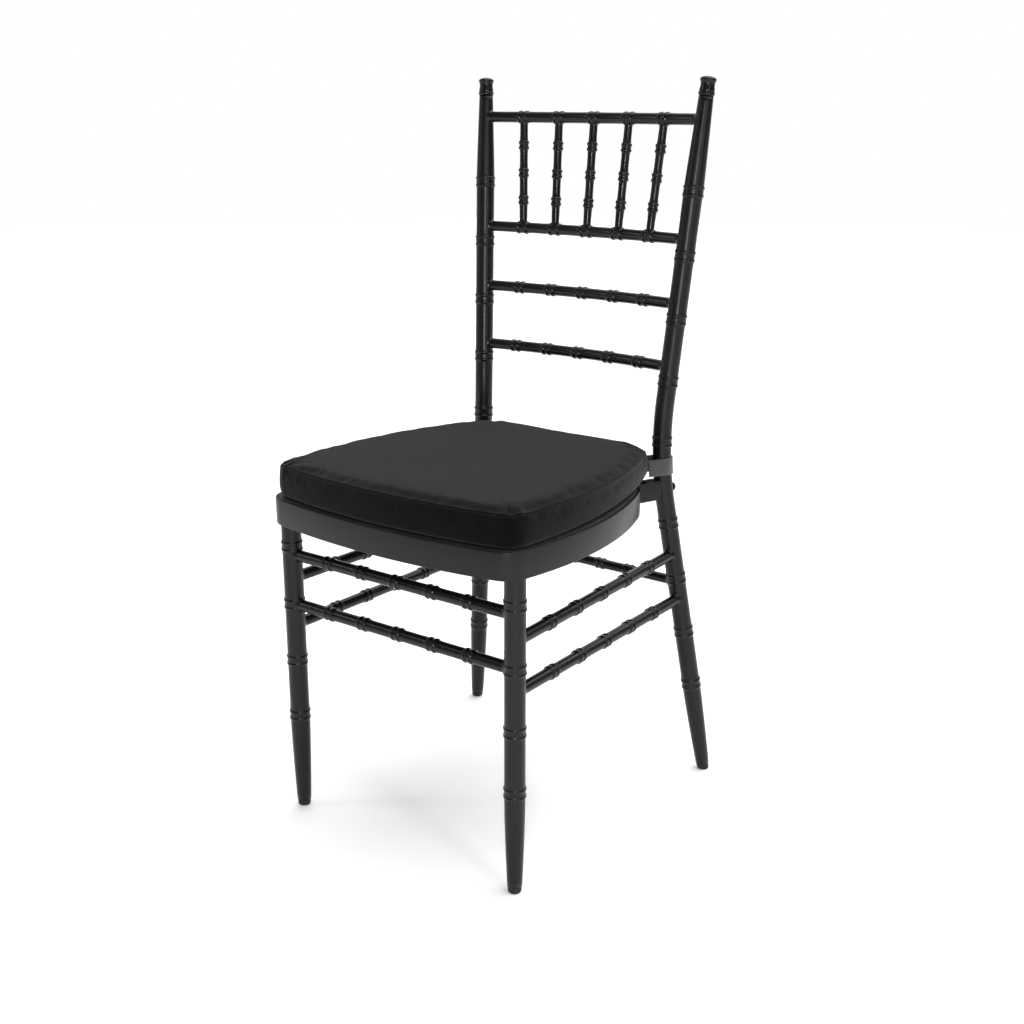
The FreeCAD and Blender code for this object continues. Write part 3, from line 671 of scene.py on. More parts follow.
class ChairLook(bpy.types.PropertyGroup):
    """Sizes in millimetres and colours of what the scene adds to the CAD model."""

    ring_rise: FloatProperty(name="Ring rise", description="Height of a ring's ridges on posts and legs",
                             default=1.2)
    ridge_gap: FloatProperty(name="Ridge gap", description="Distance between the two ridges of a ring",
                             default=9.6)
    ridge_width: FloatProperty(name="Ridge width", description="Half width of a ridge", default=2.3)
    slim_ring_rise: FloatProperty(name="Slim ring rise", description="Height of a rod's ridges", default=1.55)
    slim_ridge_gap: FloatProperty(name="Slim ridge gap", description="Distance between a rod's ridges",
                                  default=8.8)
    slim_ridge_width: FloatProperty(name="Slim ridge width", description="Half width of a rod's ridge",
                                    default=2.7)
    swell: FloatProperty(name="Swell", description="Share of the rise that the tube swells round a ring",
                         default=0.42)
    weld_size: FloatProperty(name="Weld size", description="Leg length of the weld round a rod's end",
                             default=2.2)
    post_segments: IntProperty(name="Post segments", description="Points round a post or leg", default=48)
    rod_segments: IntProperty(name="Rod segments", description="Points round a rod", default=32)
    puff: FloatProperty(name="Puff", description="Furthest that the cushion's cloth may move", default=3.0)
    pressure: FloatProperty(name="Pressure", description="Air pressure in the cushion's cloth", default=4.0)
    wrinkle: FloatProperty(name="Wrinkle", description="Depth of the gathers along the seam", default=0.22)
    seam_depth: FloatProperty(name="Seam depth", description="Depth of the seam's crease", default=1.0)
    metal_colour: FloatVectorProperty(name="Metal colour", description="Powder coat's colour", size=3,
                                      subtype="COLOR", default=(0.0036, 0.0042, 0.0054))
    fabric_colour: FloatVectorProperty(name="Fabric colour", description="Cushion cover's colour", size=3,
                                       subtype="COLOR", default=(0.002, 0.0019, 0.0022))
    fabric_sheen: FloatProperty(name="Fabric sheen", description="Strength of the cover's nap", default=0.12)
    overhead: FloatProperty(name="Overhead", description="Strength of the overhead light", default=3.6)
    side_power: FloatProperty(name="Side power", description="Power of the right-hand softbox in watts",
                              default=30.0)
    fill: FloatProperty(name="Fill", description="Brightness of the studio in front of the chair",
                        default=0.22)


# Operators

class CHAIR_OT_materials(bpy.types.Operator):
    """Make every material of the chair and give the carried-over CAD nodes theirs"""
    bl_idname = "chair.materials"
    bl_label = "Make materials"

    def execute(self, context):
        look = context.scene.chair_look
        peel = orange_peel_group()
        weave = weave_group()
        coat_material("satin_black", look.metal_colour, 0.26, 0.36, peel)
        coat_material("gloss_black", look.metal_colour, 0.17, 0.27, peel)
        coat_material("glide_nylon", (0.016, 0.016, 0.016), 0.5, 0.65, peel)
        fabric_material(look, weave)
        strap_material(weave)
        wood_material()
        zinc_material()
        # The seat board gets the near-black plywood, whose colour is painted shade for the gap under the
        # cushion.
        kept = {"seat_board": "plywood_painted_shade", "seat_tab": "satin_black"}
        for name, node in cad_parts.items():
            for start, material in kept.items():
                if name.startswith(start):
                    node.data.materials.clear()
                    node.data.materials.append(bpy.data.materials[material])
        return {"FINISHED"}


class CHAIR_OT_uprights(bpy.types.Operator):
    """Build the bent posts and the front legs with their double rings"""
    bl_idname = "chair.uprights"
    bl_label = "Build posts and legs"

    def execute(self, context):
        look = context.scene.chair_look
        heights = ring_stations(GLIDE_HEIGHT, TUBE_TOP, LOWER_RINGS + UPPER_RINGS, 7.0)
        post = upright("post_right", post_point, BEND_SIDE, heights,
                       lambda height: post_radius(height, look), look.post_segments)
        coat(mirrored(post, "post_left"), "back_post_left", "satin_black")
        coat(post, "back_post_right", "satin_black")
        heights = ring_stations(GLIDE_HEIGHT, LEG_TOP, LOWER_RINGS, 8.0)
        leg = upright("leg_right", leg_point, Vector((1, 0, 0)), heights,
                      lambda height: leg_radius(height, look), look.post_segments)
        coat(mirrored(leg, "leg_left"), "front_leg_left", "satin_black")
        coat(leg, "front_leg_right", "satin_black")
        return {"FINISHED"}


# Distance along the finial and radius there: bead, waist and cap
FINIAL_PROFILE = [(0.0, 9.1), (0.6, 9.6), (1.6, 10.15), (2.6, 10.3), (3.6, 10.15), (4.4, 9.75),
                  (4.9, 9.45), (5.6, 9.5), (6.4, 9.65), (7.6, 9.5), (9.2, 9.15), (11.0, 8.85),
                  (13.0, 8.7), (14.6, 8.8), (16.0, 9.2), (17.0, 9.65), (17.9, 10.05), (18.8, 10.2),
                  (19.7, 10.05), (20.5, 9.55), (21.2, 8.7), (21.9, 7.3), (22.5, 5.5), (22.95, 3.4),
                  (23.15, 1.3)]
FINIAL_SEGMENTS = 48


class CHAIR_OT_finials(bpy.types.Operator):
    """Build the turned finials on the post tops"""
    bl_idname = "chair.finials"
    bl_label = "Build finials"

    def execute(self, context):
        start = post_point(TUBE_TOP)[0]
        first, second = cross_frame(UPPER_AXIS, BEND_SIDE)
        rings = []
        for along, radius in FINIAL_PROFILE:
            turns = [2 * math.pi * i / FINIAL_SEGMENTS for i in range(FINIAL_SEGMENTS)]
            rings.append([start + UPPER_AXIS * along + (first * math.cos(t) + second * math.sin(t)) * radius
                          for t in turns])
        finial = skin_rings("turned_finial_right", rings)
        smooth(finial, 1)
        coat(mirrored(finial, "turned_finial_left"), "finial_left", "gloss_black")
        coat(finial, "finial_right", "gloss_black")
        return {"FINISHED"}


def smooth(piece, levels):
    """Subdivides a piece and keeps the result."""
    modifier = piece.modifiers.new("Smooth", "SUBSURF")
    modifier.levels = levels
    modifier.render_levels = levels
    apply_modifiers(piece)


def apply_modifiers(piece):
    """Keeps the mesh that the piece's modifiers give."""
    graph = bpy.context.evaluated_depsgraph_get()
    mesh = bpy.data.meshes.new_from_object(piece.evaluated_get(graph))
    piece.modifiers.clear()
    old = piece.data
    piece.data = mesh
    mesh.name = piece.name
    bpy.data.meshes.remove(old)


# Height on the glide and radius there
GLIDE_PROFILE = [(0.0, 6.6), (0.25, 7.2), (0.9, 7.75), (1.8, 8.05), (3.0, 8.2), (5.0, 8.2), (6.6, 8.15),
                 (7.4, 8.0), (7.8, 7.6)]
GLIDE_SEGMENTS = 40


class CHAIR_OT_glides(bpy.types.Operator):
    """Build the nylon glides under the four feet"""
    bl_idname = "chair.glides"
    bl_label = "Build glides"

    def execute(self, context):
        for kind, place in (("front", leg_point), ("rear", post_point)):
            rings = []
            for height, radius in GLIDE_PROFILE:
                point = place(height)[0]
                rings.append([point + Vector((math.cos(t), math.sin(t), 0)) * radius
                              for t in (2 * math.pi * i / GLIDE_SEGMENTS for i in range(GLIDE_SEGMENTS))])
            glide = skin_rings(f"glide_pad_{kind}_right", rings)
            coat(mirrored(glide, f"glide_pad_{kind}_left"), f"foot_glide_{kind}_left",
                 "glide_nylon")
            coat(glide, f"foot_glide_{kind}_right", "glide_nylon")
        return {"FINISHED"}


FRONT_STRETCHERS = (("upper", 349.0), ("lower", 283.2))
SIDE_STRETCHERS = (("upper", 317.2), ("lower", 254.7))
REAR_STRETCHER_HEIGHT = 278.5
FRONT_RING_PITCH = 54.7
SIDE_RING_PITCH = 57.4
REAR_RING_PITCH = 45.3


class CHAIR_OT_stretchers(bpy.types.Operator):
    """Build the seven stretchers, welded to legs and posts"""
    bl_idname = "chair.stretchers"
    bl_label = "Build stretchers"

    def execute(self, context):
        look = context.scene.chair_look
        vertical = Vector((0, 0, 1))
        for level, height in FRONT_STRETCHERS:
            at_leg = leg_point(height)[0]
            line, length = straight_line(flipped(at_leg), at_leg)
            middles = [length / 2 + number * FRONT_RING_PITCH for number in range(-2, 3)]
            piece = rod(f"stretcher_front_{level}", line, length,
                        [(vertical, leg_radius(height, look)), (vertical, leg_radius(height, look))],
                        STRETCHER_RADIUS, middles, look, look.rod_segments)
            coat(piece, f"front_stretcher_{level}", "gloss_black")
        for level, height in SIDE_STRETCHERS:
            start = leg_point(height)[0]
            end, axis = post_point(height)
            line, length = straight_line(start, end)
            middles = [length / 2 + number * SIDE_RING_PITCH for number in range(-2, 3)]
            piece = rod(f"stretcher_side_{level}_right", line, length,
                        [(vertical, leg_radius(height, look)), (axis, post_radius(height, look))],
                        STRETCHER_RADIUS, middles, look, look.rod_segments)
            coat(mirrored(piece, f"stretcher_side_{level}_left"), f"side_stretcher_{level}_left",
                 "gloss_black")
            coat(piece, f"side_stretcher_{level}_right", "gloss_black")
        end, axis = post_point(REAR_STRETCHER_HEIGHT)
        line, length = straight_line(flipped(end), end)
        middles = [length / 2 + number * REAR_RING_PITCH for number in range(-2, 3)]
        radius = post_radius(REAR_STRETCHER_HEIGHT, look)
        piece = rod("stretcher_rear", line, length, [(flipped(axis), radius), (axis, radius)],
                    REAR_RADIUS, middles, look, look.rod_segments)
        coat(piece, "rear_stretcher", "gloss_black")
        return {"FINISHED"}


# Each rail's height, pitch of its rings, and gap between a ring's ridges where spindles stand
RAILS = (("top_rail", TOP_RAIL_HEIGHT, 54.1, 9.6), ("spindle_rail", SPINDLE_RAIL_HEIGHT, 49.6, 11.6),
         ("ladder_rail_upper", LADDER_UPPER_HEIGHT, 49.4, 0.0),
         ("ladder_rail_lower", LADDER_LOWER_HEIGHT, 49.4, 0.0))


class CHAIR_OT_rails(bpy.types.Operator):
    """Build the four bowed rails of the back"""
    bl_idname = "chair.rails"
    bl_label = "Build rails"

    def execute(self, context):
        look = context.scene.chair_look
        for node, height, pitch, collar_gap in RAILS:
            line, length = rail_line(height)
            radius = rail_arc(height)[1]
            middles = [length / 2 + radius * math.asin(number * pitch / radius) for number in range(-2, 3)]
            gap = look.slim_ridge_gap
            if collar_gap:
                look.slim_ridge_gap = collar_gap
            axis = post_point(height)[1]
            at_post = post_radius(height, look)
            piece = rod("bowed_" + node, line, length, [(flipped(axis), at_post), (axis, at_post)],
                        RAIL_RADIUS, middles, look, look.rod_segments)
            look.slim_ridge_gap = gap
            coat(piece, node, "gloss_black")
        return {"FINISHED"}


SPINDLE_PITCH_BELOW = 49.6
SPINDLE_PITCH_ABOVE = 54.1
SPINDLE_RING_PITCH = 35.8
SPINDLE_SEGMENTS = 28
SPINDLE_FLARE = 0.35


class CHAIR_OT_spindles(bpy.types.Operator):
    """Build the five spindles between the upper rails"""
    bl_idname = "chair.spindles"
    bl_label = "Build spindles"

    def execute(self, context):
        look = context.scene.chair_look
        gap, width = look.slim_ridge_gap, look.slim_ridge_width
        look.slim_ridge_gap, look.slim_ridge_width = 7.2, 2.5
        for number in range(-2, 3):
            start, start_axis = rail_point(SPINDLE_RAIL_HEIGHT, number * SPINDLE_PITCH_BELOW)
            end, end_axis = rail_point(TOP_RAIL_HEIGHT, number * SPINDLE_PITCH_ABOVE)
            line, length = straight_line(start, end)
            middles = [length / 2 + level * SPINDLE_RING_PITCH for level in (-1, 0, 1)]
            name = f"turned_spindle_{number + 3}"
            piece = rod(name, line, length, [(start_axis, RAIL_RADIUS + 0.3), (end_axis, RAIL_RADIUS + 0.3)],
                        SPINDLE_RADIUS, middles, look, SPINDLE_SEGMENTS, SPINDLE_FLARE, Vector((0, 1, 0)))
            coat(piece, f"spindle_{number + 3}", "gloss_black")
        look.slim_ridge_gap, look.slim_ridge_width = gap, width
        return {"FINISHED"}


class CHAIR_OT_apron(bpy.types.Operator):
    """Build the seat's steel band with rolled edges"""
    bl_idname = "chair.apron"
    bl_label = "Build apron"

    def execute(self, context):
        section = []
        edge = 1.0
        near, far = edge, APRON_THICKNESS - edge
        top, bottom = APRON_TOP - edge, APRON_BOTTOM + edge
        for corner, (middle, height) in enumerate(((near, top), (far, top), (far, bottom), (near, bottom))):
            for number in range(5):
                turn = math.radians(90.0 * corner + 90.0 * number / 4)
                section.append((middle - edge * math.cos(turn), height + edge * math.sin(turn)))
        path = outline(APRON)
        rings = []
        for point, normal in path:
            rings.append([Vector((point.x - normal.x * inset, point.y - normal.y * inset, height))
                          for inset, height in section])
        count = len(section)
        vertices = [point for ring in rings for point in ring]
        faces = []
        for i in range(len(rings)):
            j = (i + 1) % len(rings)
            for k in range(count):
                m = (k + 1) % count
                faces.append((i * count + k, j * count + k, j * count + m, i * count + m))
        band = new_piece("apron_band", vertices, faces)
        coat(band, "seat_apron", "satin_black")
        return {"FINISHED"}


def turned_hex(name, place, axis, hint, profile, sides, detail=6):
    """Turned piece whose stations may be many-sided.

    Each row of the profile is a distance, a radius and a share of roundness.
    """
    first, second = cross_frame(axis, hint)
    count = sides * detail
    rings = []
    for along, radius, roundness in profile:
        ring = []
        for i in range(count):
            turn = 2 * math.pi * i / count
            local = (turn + math.pi / sides) % (2 * math.pi / sides) - math.pi / sides
            flat = radius * math.cos(math.pi / sides) / math.cos(local)
            reach = flat * (1 - roundness) + radius * math.cos(math.pi / sides) * roundness
            ring.append(place + axis * along + (first * math.cos(turn) + second * math.sin(turn)) * reach)
        rings.append(ring)
    return skin_rings(name, rings)


BOLT_HEIGHT = 408.5
BLOCK_EDGE = 1.2
BLOCK_HALF_WIDTH = 8.0
BLOCK_HALF_HEIGHT = 13.0


def bolt_frame():
    """Start, direction and length of the right-hand bolt line, from the apron's rear corner to the post."""
    rear_y = APRON["back_reach"] - APRON["back_corner"]
    side_x = APRON["side_reach"] - APRON["side_radius"]
    rear_x = side_x + math.sqrt((APRON["side_radius"] - APRON["back_corner"]) ** 2
                                - (rear_y + APRON["side_forward"]) ** 2)
    start = Vector((rear_x, rear_y, BOLT_HEIGHT))
    end = post_point(BOLT_HEIGHT)[0]
    flat = Vector((end.x - start.x, end.y - start.y, 0))
    return start, flat.normalized(), flat.length


class CHAIR_OT_fixings(bpy.types.Operator):
    """Build the spacer blocks, bolts, nuts and screws"""
    bl_idname = "chair.fixings"
    bl_label = "Build fixings"

    def execute(self, context):
        start, axis, run = bolt_frame()
        up = Vector((0, 0, 1))
        side = up.cross(axis)
        near = APRON["back_corner"] - 0.2
        far = run - POST_RADIUS * 0.55
        wide, tall = BLOCK_HALF_WIDTH - BLOCK_EDGE, BLOCK_HALF_HEIGHT - BLOCK_EDGE
        rings = []
        for along in (near, far - 4.0, far):
            ring = []
            for corner, (x, y) in enumerate(((wide, tall), (-wide, tall), (-wide, -tall), (wide, -tall))):
                for number in range(5):
                    turn = math.radians(90 * corner + 90 * number / 4)
                    ring.append(start + axis * along + side * (x + BLOCK_EDGE * math.cos(turn))
                                + up * (y + BLOCK_EDGE * math.sin(turn)))
            rings.append(ring)
        block = skin_rings("spacer_block_right", rings)
        coat(mirrored(block, "spacer_block_left"), "seat_spacer_left", "satin_black")
        coat(block, "seat_spacer_right", "satin_black")
        head = start + axis * (run + POST_RADIUS)
        bolt = turned_hex("bolt_head_right", head, axis, up,
                          [(-0.6, 6.9, 1.0), (0.0, 7.4, 1.0), (0.7, 7.4, 1.0), (0.9, 6.9, 1.0),
                           (0.9, 5.6, 0.6), (1.1, 5.75, 0.0), (3.4, 5.75, 0.0), (3.8, 5.5, 0.5),
                           (4.0, 4.8, 1.0), (4.0, 1.0, 1.0)], 6)
        shank = turned_hex("bolt_shank_right", start + axis * (near - 12.0), axis, up,
                           [(0.0, 2.4, 1.0), (0.5, 3.0, 1.0), (14.0, 3.0, 1.0)], 12, 2)
        nut = turned_hex("bolt_nut_right", start + axis * (near - 7.5), axis, up,
                         [(0.0, 4.6, 1.0), (0.3, 5.3, 0.6), (0.7, 5.7, 0.0), (4.2, 5.7, 0.0),
                          (4.6, 5.3, 0.6), (4.9, 4.6, 1.0)], 6)
        joined = join_pieces("bolt_right", [bolt, shank])
        coat(mirrored(joined, "bolt_left"), "seat_bolt_left", "satin_black")
        coat(joined, "seat_bolt_right", "satin_black")
        coat(mirrored(nut, "bolt_nut_left"), "seat_nut_left", "zinc_steel")
        coat(nut, "seat_nut_right", "zinc_steel")
        for where in ("front", "right", "back", "left"):
            low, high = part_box("seat_screw_" + where)
            middle = Vector(((low[0] + high[0]) / 2, (low[1] + high[1]) / 2, low[2])) / MM
            screw = turned_hex(f"pan_screw_{where}", middle, up, Vector((1, 0, 0)),
                               [(0.9, 0.7, 1.0), (0.35, 1.0, 0.4), (0.05, 2.2, 0.7), (0.0, 2.9, 1.0),
                                (0.35, 3.9, 1.0), (1.1, 4.4, 1.0), (2.5, 4.5, 1.0)], 4, 10)
            coat(screw, f"seat_screw_{where}", "zinc_steel")
        return {"FINISHED"}


def join_pieces(name, pieces):
    """One object from several."""
    joined = bmesh.new()
    for piece in pieces:
        joined.from_mesh(piece.data)
    mesh = bpy.data.meshes.new(name)
    joined.to_mesh(mesh)
    joined.free()
    for piece in pieces:
        bpy.data.objects.remove(piece)
    result = bpy.data.objects.new(name, mesh)
    bpy.context.scene.collection.objects.link(result)
    return result


# Cushion

def cushion_point(point, height):
    """Point of the cushion at a height above its floor; the upper levels slope to the back."""
    share = min(1.0, height / CUSHION_SIDE)
    return Vector((point.x, point.y, CUSHION_FLOOR + height - math.tan(CUSHION_SLOPE) * point.y * share))


def cushion_levels():
    """Rows of the cushion: height, inset, share of the plan, and distance from the seam.

    The distance is negative below the seam.
    """
    levels = []
    for inset in (130.0, 80.0, 40.0):
        levels.append((0.4, None, 1 - inset / 220.0, -80.0))
    for height, inset in ((0.3, 12.0), (0.5, 7.5), (1.6, 4.6), (3.6, 2.6), (6.5, 1.2), (10.0, 0.5),
                          (14.0, 0.2), (18.0, 0.2), (22.0, 0.3), (26.0, 0.5), (29.5, 0.8)):
        levels.append((height, inset, 1.0, height - CUSHION_SIDE))
    for height, inset in ((32.0, 1.1), (33.6, 1.3), (34.6, 1.5), (35.2, 1.7), (35.7, 1.9), (36.0, 2.2),
                          (36.3, 2.6), (36.6, 3.1), (37.0, 3.9), (37.4, 5.2), (37.9, 7.5), (38.4, 10.5),
                          (38.9, 14.5), (39.4, 19.5)):
        levels.append((height, inset, 1.0, inset - 2.2 if inset > 2.2 else height - CUSHION_SIDE))
    for share, height in ((0.86, 39.9), (0.8, 40.2), (0.72, 40.5), (0.63, 40.75), (0.53, 40.9),
                          (0.42, 41.0), (0.3, 41.1), (0.18, 41.15), (0.08, 41.2)):
        levels.append((height, None, share, (1 - share) * 200.0))
    return levels


def gathers(turn, seed):
    """Uneven waves round the seam, from fixed sines."""
    total = 0.0
    for index, frequency in enumerate((23, 37, 53, 71, 97)):
        total += math.sin(turn * frequency + seed * (index + 1) * 1.7) * (0.9 ** index)
    slow = 0.55 + 0.45 * math.sin(turn * 5 + seed) * math.sin(turn * 3 + 1.3 * seed)
    return total / 2.6 * slow


CLOTH_FRAMES = 14


def simulate_cushion(piece, look):
    """Fills the cover with air as cloth and keeps the swollen shape, no point moved beyond the limit."""
    start = [vertex.co.copy() for vertex in piece.data.vertices]
    held = piece.vertex_groups.new(name="held")
    for index, vertex in enumerate(piece.data.vertices):
        height = vertex.co.z / MM - CUSHION_FLOOR
        if height < 2.0:
            held.add([index], 1.0, "REPLACE")
    cloth = piece.modifiers.new("Cloth", "CLOTH")
    settings = cloth.settings
    settings.quality = 4
    settings.mass = 0.25
    settings.tension_stiffness = 40
    settings.compression_stiffness = 40
    settings.shear_stiffness = 20
    settings.bending_stiffness = 1.5
    settings.use_pressure = True
    settings.uniform_pressure_force = look.pressure
    settings.vertex_group_mass = "held"
    settings.effector_weights.gravity = 0
    cloth.collision_settings.use_collision = False
    cloth.point_cache.frame_start = 1
    cloth.point_cache.frame_end = CLOTH_FRAMES
    for number in range(1, CLOTH_FRAMES + 1):
        bpy.context.scene.frame_set(number)
    apply_modifiers(piece)
    bpy.context.scene.frame_set(1)
    limit = look.puff * MM
    for vertex, before in zip(piece.data.vertices, start):
        moved = vertex.co - before
        if moved.length > limit:
            vertex.co = before + moved.normalized() * limit


class CHAIR_OT_cushion(bpy.types.Operator):
    """Build the boxed cushion: swell it as cloth, then sew its seam and gathers"""
    bl_idname = "chair.cushion"
    bl_label = "Build cushion"

    def execute(self, context):
        look = context.scene.chair_look
        levels = cushion_levels()
        fine = self.cover("boxed_cushion", levels, 2)
        count = len(outline(CUSHION, dense=2))
        coarse = self.cover("cushion_cloth", levels, 1)
        start = [vertex.co.copy() for vertex in coarse.data.vertices]
        simulate_cushion(coarse, look)
        moved = [vertex.co - before for vertex, before in zip(coarse.data.vertices, start)]
        self.follow(fine, moved, len(levels), count)
        bpy.data.objects.remove(coarse)
        self.sew(fine, levels, count, look)
        coat(fine, "cushion", "charcoal_fabric")
        return {"FINISHED"}

    def cover(self, name, levels, dense):
        """Cover before it is filled, as rings of points."""
        rings = []
        for height, inset, share, _ in levels:
            path = outline(CUSHION, 0.9 + (inset or 0.0), share, dense)
            rings.append([cushion_point(point, height) for point, _ in path])
        return skin_rings(name, rings)

    def follow(self, fine, moved, rows, count):
        """Moves the fine cover as the coarse cloth moved, halfway points between their neighbours."""
        half = count // 2
        for row in range(rows):
            for i in range(count):
                near = moved[row * half + i // 2]
                after = moved[row * half + (i // 2 + 1) % half]
                step = near if i % 2 == 0 else (near + after) / 2
                fine.data.vertices[row * count + i].co += step
        for end in range(2):
            fine.data.vertices[rows * count + end].co += moved[rows * half + end]

    def sew(self, piece, levels, count, look):
        """Creases the seam and gathers the cloth beside it."""
        mesh = piece.data
        mesh.update()
        normals = [vertex.normal.copy() for vertex in mesh.vertices]
        for row, (height, _, share, away) in enumerate(levels):
            groove = look.seam_depth * math.exp(-(away / 0.55) ** 2)
            roll = 0.35 * math.exp(-((abs(away) - 1.6) / 1.1) ** 2)
            reach = 26.0 if away > 0 else 9.0
            depth = look.wrinkle * math.exp(-abs(away) / reach) * min(1.0, abs(away) / 1.2)
            for i in range(count):
                turn = 2 * math.pi * i / count
                amount = roll - groove + depth * gathers(turn, 1.0 if away > 0 else 2.0)
                if away > 0:
                    spot = mesh.vertices[row * count + i].co
                    soft = math.sin(spot.x * 31 + 1.1) * math.sin(spot.y * 27 + 0.4)
                    amount += 0.35 * soft * min(1.0, away / 30.0)
                if height < 1.0:
                    amount = 0.0
                mesh.vertices[row * count + i].co += normals[row * count + i] * (amount * MM)
        mesh.update()


# Straps

STRAP_HEIGHT = 439.5
STRAP_CLEARANCE = 0.3
STRAP_HALF_THICKNESS = 0.8
STRAP_HALF_WIDTH = 11.0
STRAP_RIBS = 5


def strap_route():
    """Place, directions and centre line of the right-hand strap.

    The line lies in the strap's own plane: a tail, half a turn round the post and a tail.
    """
    point, axis = post_point(STRAP_HEIGHT)
    rear_y = CUSHION["back_reach"] - CUSHION["back_corner"]
    side_x = CUSHION["side_reach"] - CUSHION["side_radius"]
    rear_x = side_x + math.sqrt((CUSHION["side_radius"] - CUSHION["back_corner"]) ** 2
                                - (rear_y + CUSHION["side_forward"]) ** 2)
    towards = Vector((rear_x - point.x, rear_y - point.y, 0))
    along = (towards - axis * towards.dot(axis)).normalized()
    across = axis.cross(along).normalized()
    radius = POST_RADIUS + STRAP_CLEARANCE + STRAP_HALF_THICKNESS
    route = []
    centre = Vector((rear_x, rear_y))

    def tail(sign):
        reach = 0.0
        while reach < 80.0:
            spot = point + along * reach + across * (sign * radius)
            if (Vector((spot.x, spot.y)) - centre).length < CUSHION["back_corner"] + 0.2:
                break
            reach += 0.25
        return reach

    for number in range(9):
        route.append((tail(1.0) * (1 - number / 8), radius))
    for number in range(1, 24):
        turn = math.pi / 2 + math.pi * number / 24
        route.append((radius * math.cos(turn), radius * math.sin(turn)))
    for number in range(9):
        route.append((tail(-1.0) * number / 8, -radius))
    return point, axis, along, across, route


class CHAIR_OT_straps(bpy.types.Operator):
    """Build the ribbed elastic straps round the posts"""
    bl_idname = "chair.straps"
    bl_label = "Build straps"

    def execute(self, context):
        point, axis, along, across, route = strap_route()
        section = []
        rows = STRAP_RIBS * 6
        for number in range(rows + 1):
            height = -STRAP_HALF_WIDTH + 2 * STRAP_HALF_WIDTH * number / rows
            rib = 0.35 * abs(math.sin(math.pi * STRAP_RIBS * number / rows))
            section.append((STRAP_HALF_THICKNESS + rib - 0.2, height))
        section += [(-STRAP_HALF_THICKNESS, STRAP_HALF_WIDTH), (-STRAP_HALF_THICKNESS, -STRAP_HALF_WIDTH)]
        rings = []
        for index, (x, y) in enumerate(route):
            before = route[max(0, index - 1)]
            after = route[min(len(route) - 1, index + 1)]
            run = Vector((after[0] - before[0], after[1] - before[1])).normalized()
            out = Vector((-run.y, run.x)) * -1.0
            ring = []
            for thick, height in section:
                spot = Vector((x, y)) + out * -thick
                ring.append(point + along * spot.x + across * spot.y + axis * height)
            rings.append(ring)
        strap = skin_rings("elastic_strap_right", rings)
        coat(mirrored(strap, "elastic_strap_left"), "cushion_strap_left", "ribbed_elastic")
        coat(strap, "cushion_strap_right", "ribbed_elastic")
        return {"FINISHED"}


# Stage

FLOOR_SEGMENTS = 64
FLOOR_RADIUS = 9000.0
CAMERA_TARGET = Vector((19.76, 14.0, 390.05))
CAMERA_DISTANCE = 1721.35
CAMERA_AZIMUTH = math.radians(36.75)
CAMERA_ELEVATION = math.radians(17.10)
CAMERA_ROLL = math.radians(0.05)
CAMERA_LENS = 1352.25 / 1024 * 36.0


def stage_material(name, colour):
    """Matt material with a hardly visible mottle."""
    material, tree, shader = new_material(name)
    place = tree.nodes.new("ShaderNodeTexCoord")
    place.location = (-700, 0)
    mottle = add(tree, "ShaderNodeTexNoise", (-450, 0), Scale=2.0, Detail=2.0)
    tree.links.new(place.outputs["Object"], mottle.inputs["Vector"])
    dark, light = shades(colour, 0.995, 1.0)
    tint = ramp(tree, (-200, 0), mottle.outputs["Fac"], [(0.3, dark), (0.7, light)])
    tree.links.new(tint, shader.inputs["Base Color"])
    shader.inputs["Roughness"].default_value = 0.9
    shader.inputs["Specular IOR Level"].default_value = 0.1
    return material


def area_light(name, place, target, width, height, power):
    """Rectangular light that looks at a target; places and sizes in metres."""
    light = bpy.data.lights.new(name, "AREA")
    light.shape = "RECTANGLE"
    light.size = width
    light.size_y = height
    light.energy = power
    lamp = bpy.data.objects.new(name, light)
    lamp.location = place
    lamp.rotation_euler = (Vector(target) - Vector(place)).to_track_quat("-Z", "Y").to_euler()
    bpy.context.scene.collection.objects.link(lamp)


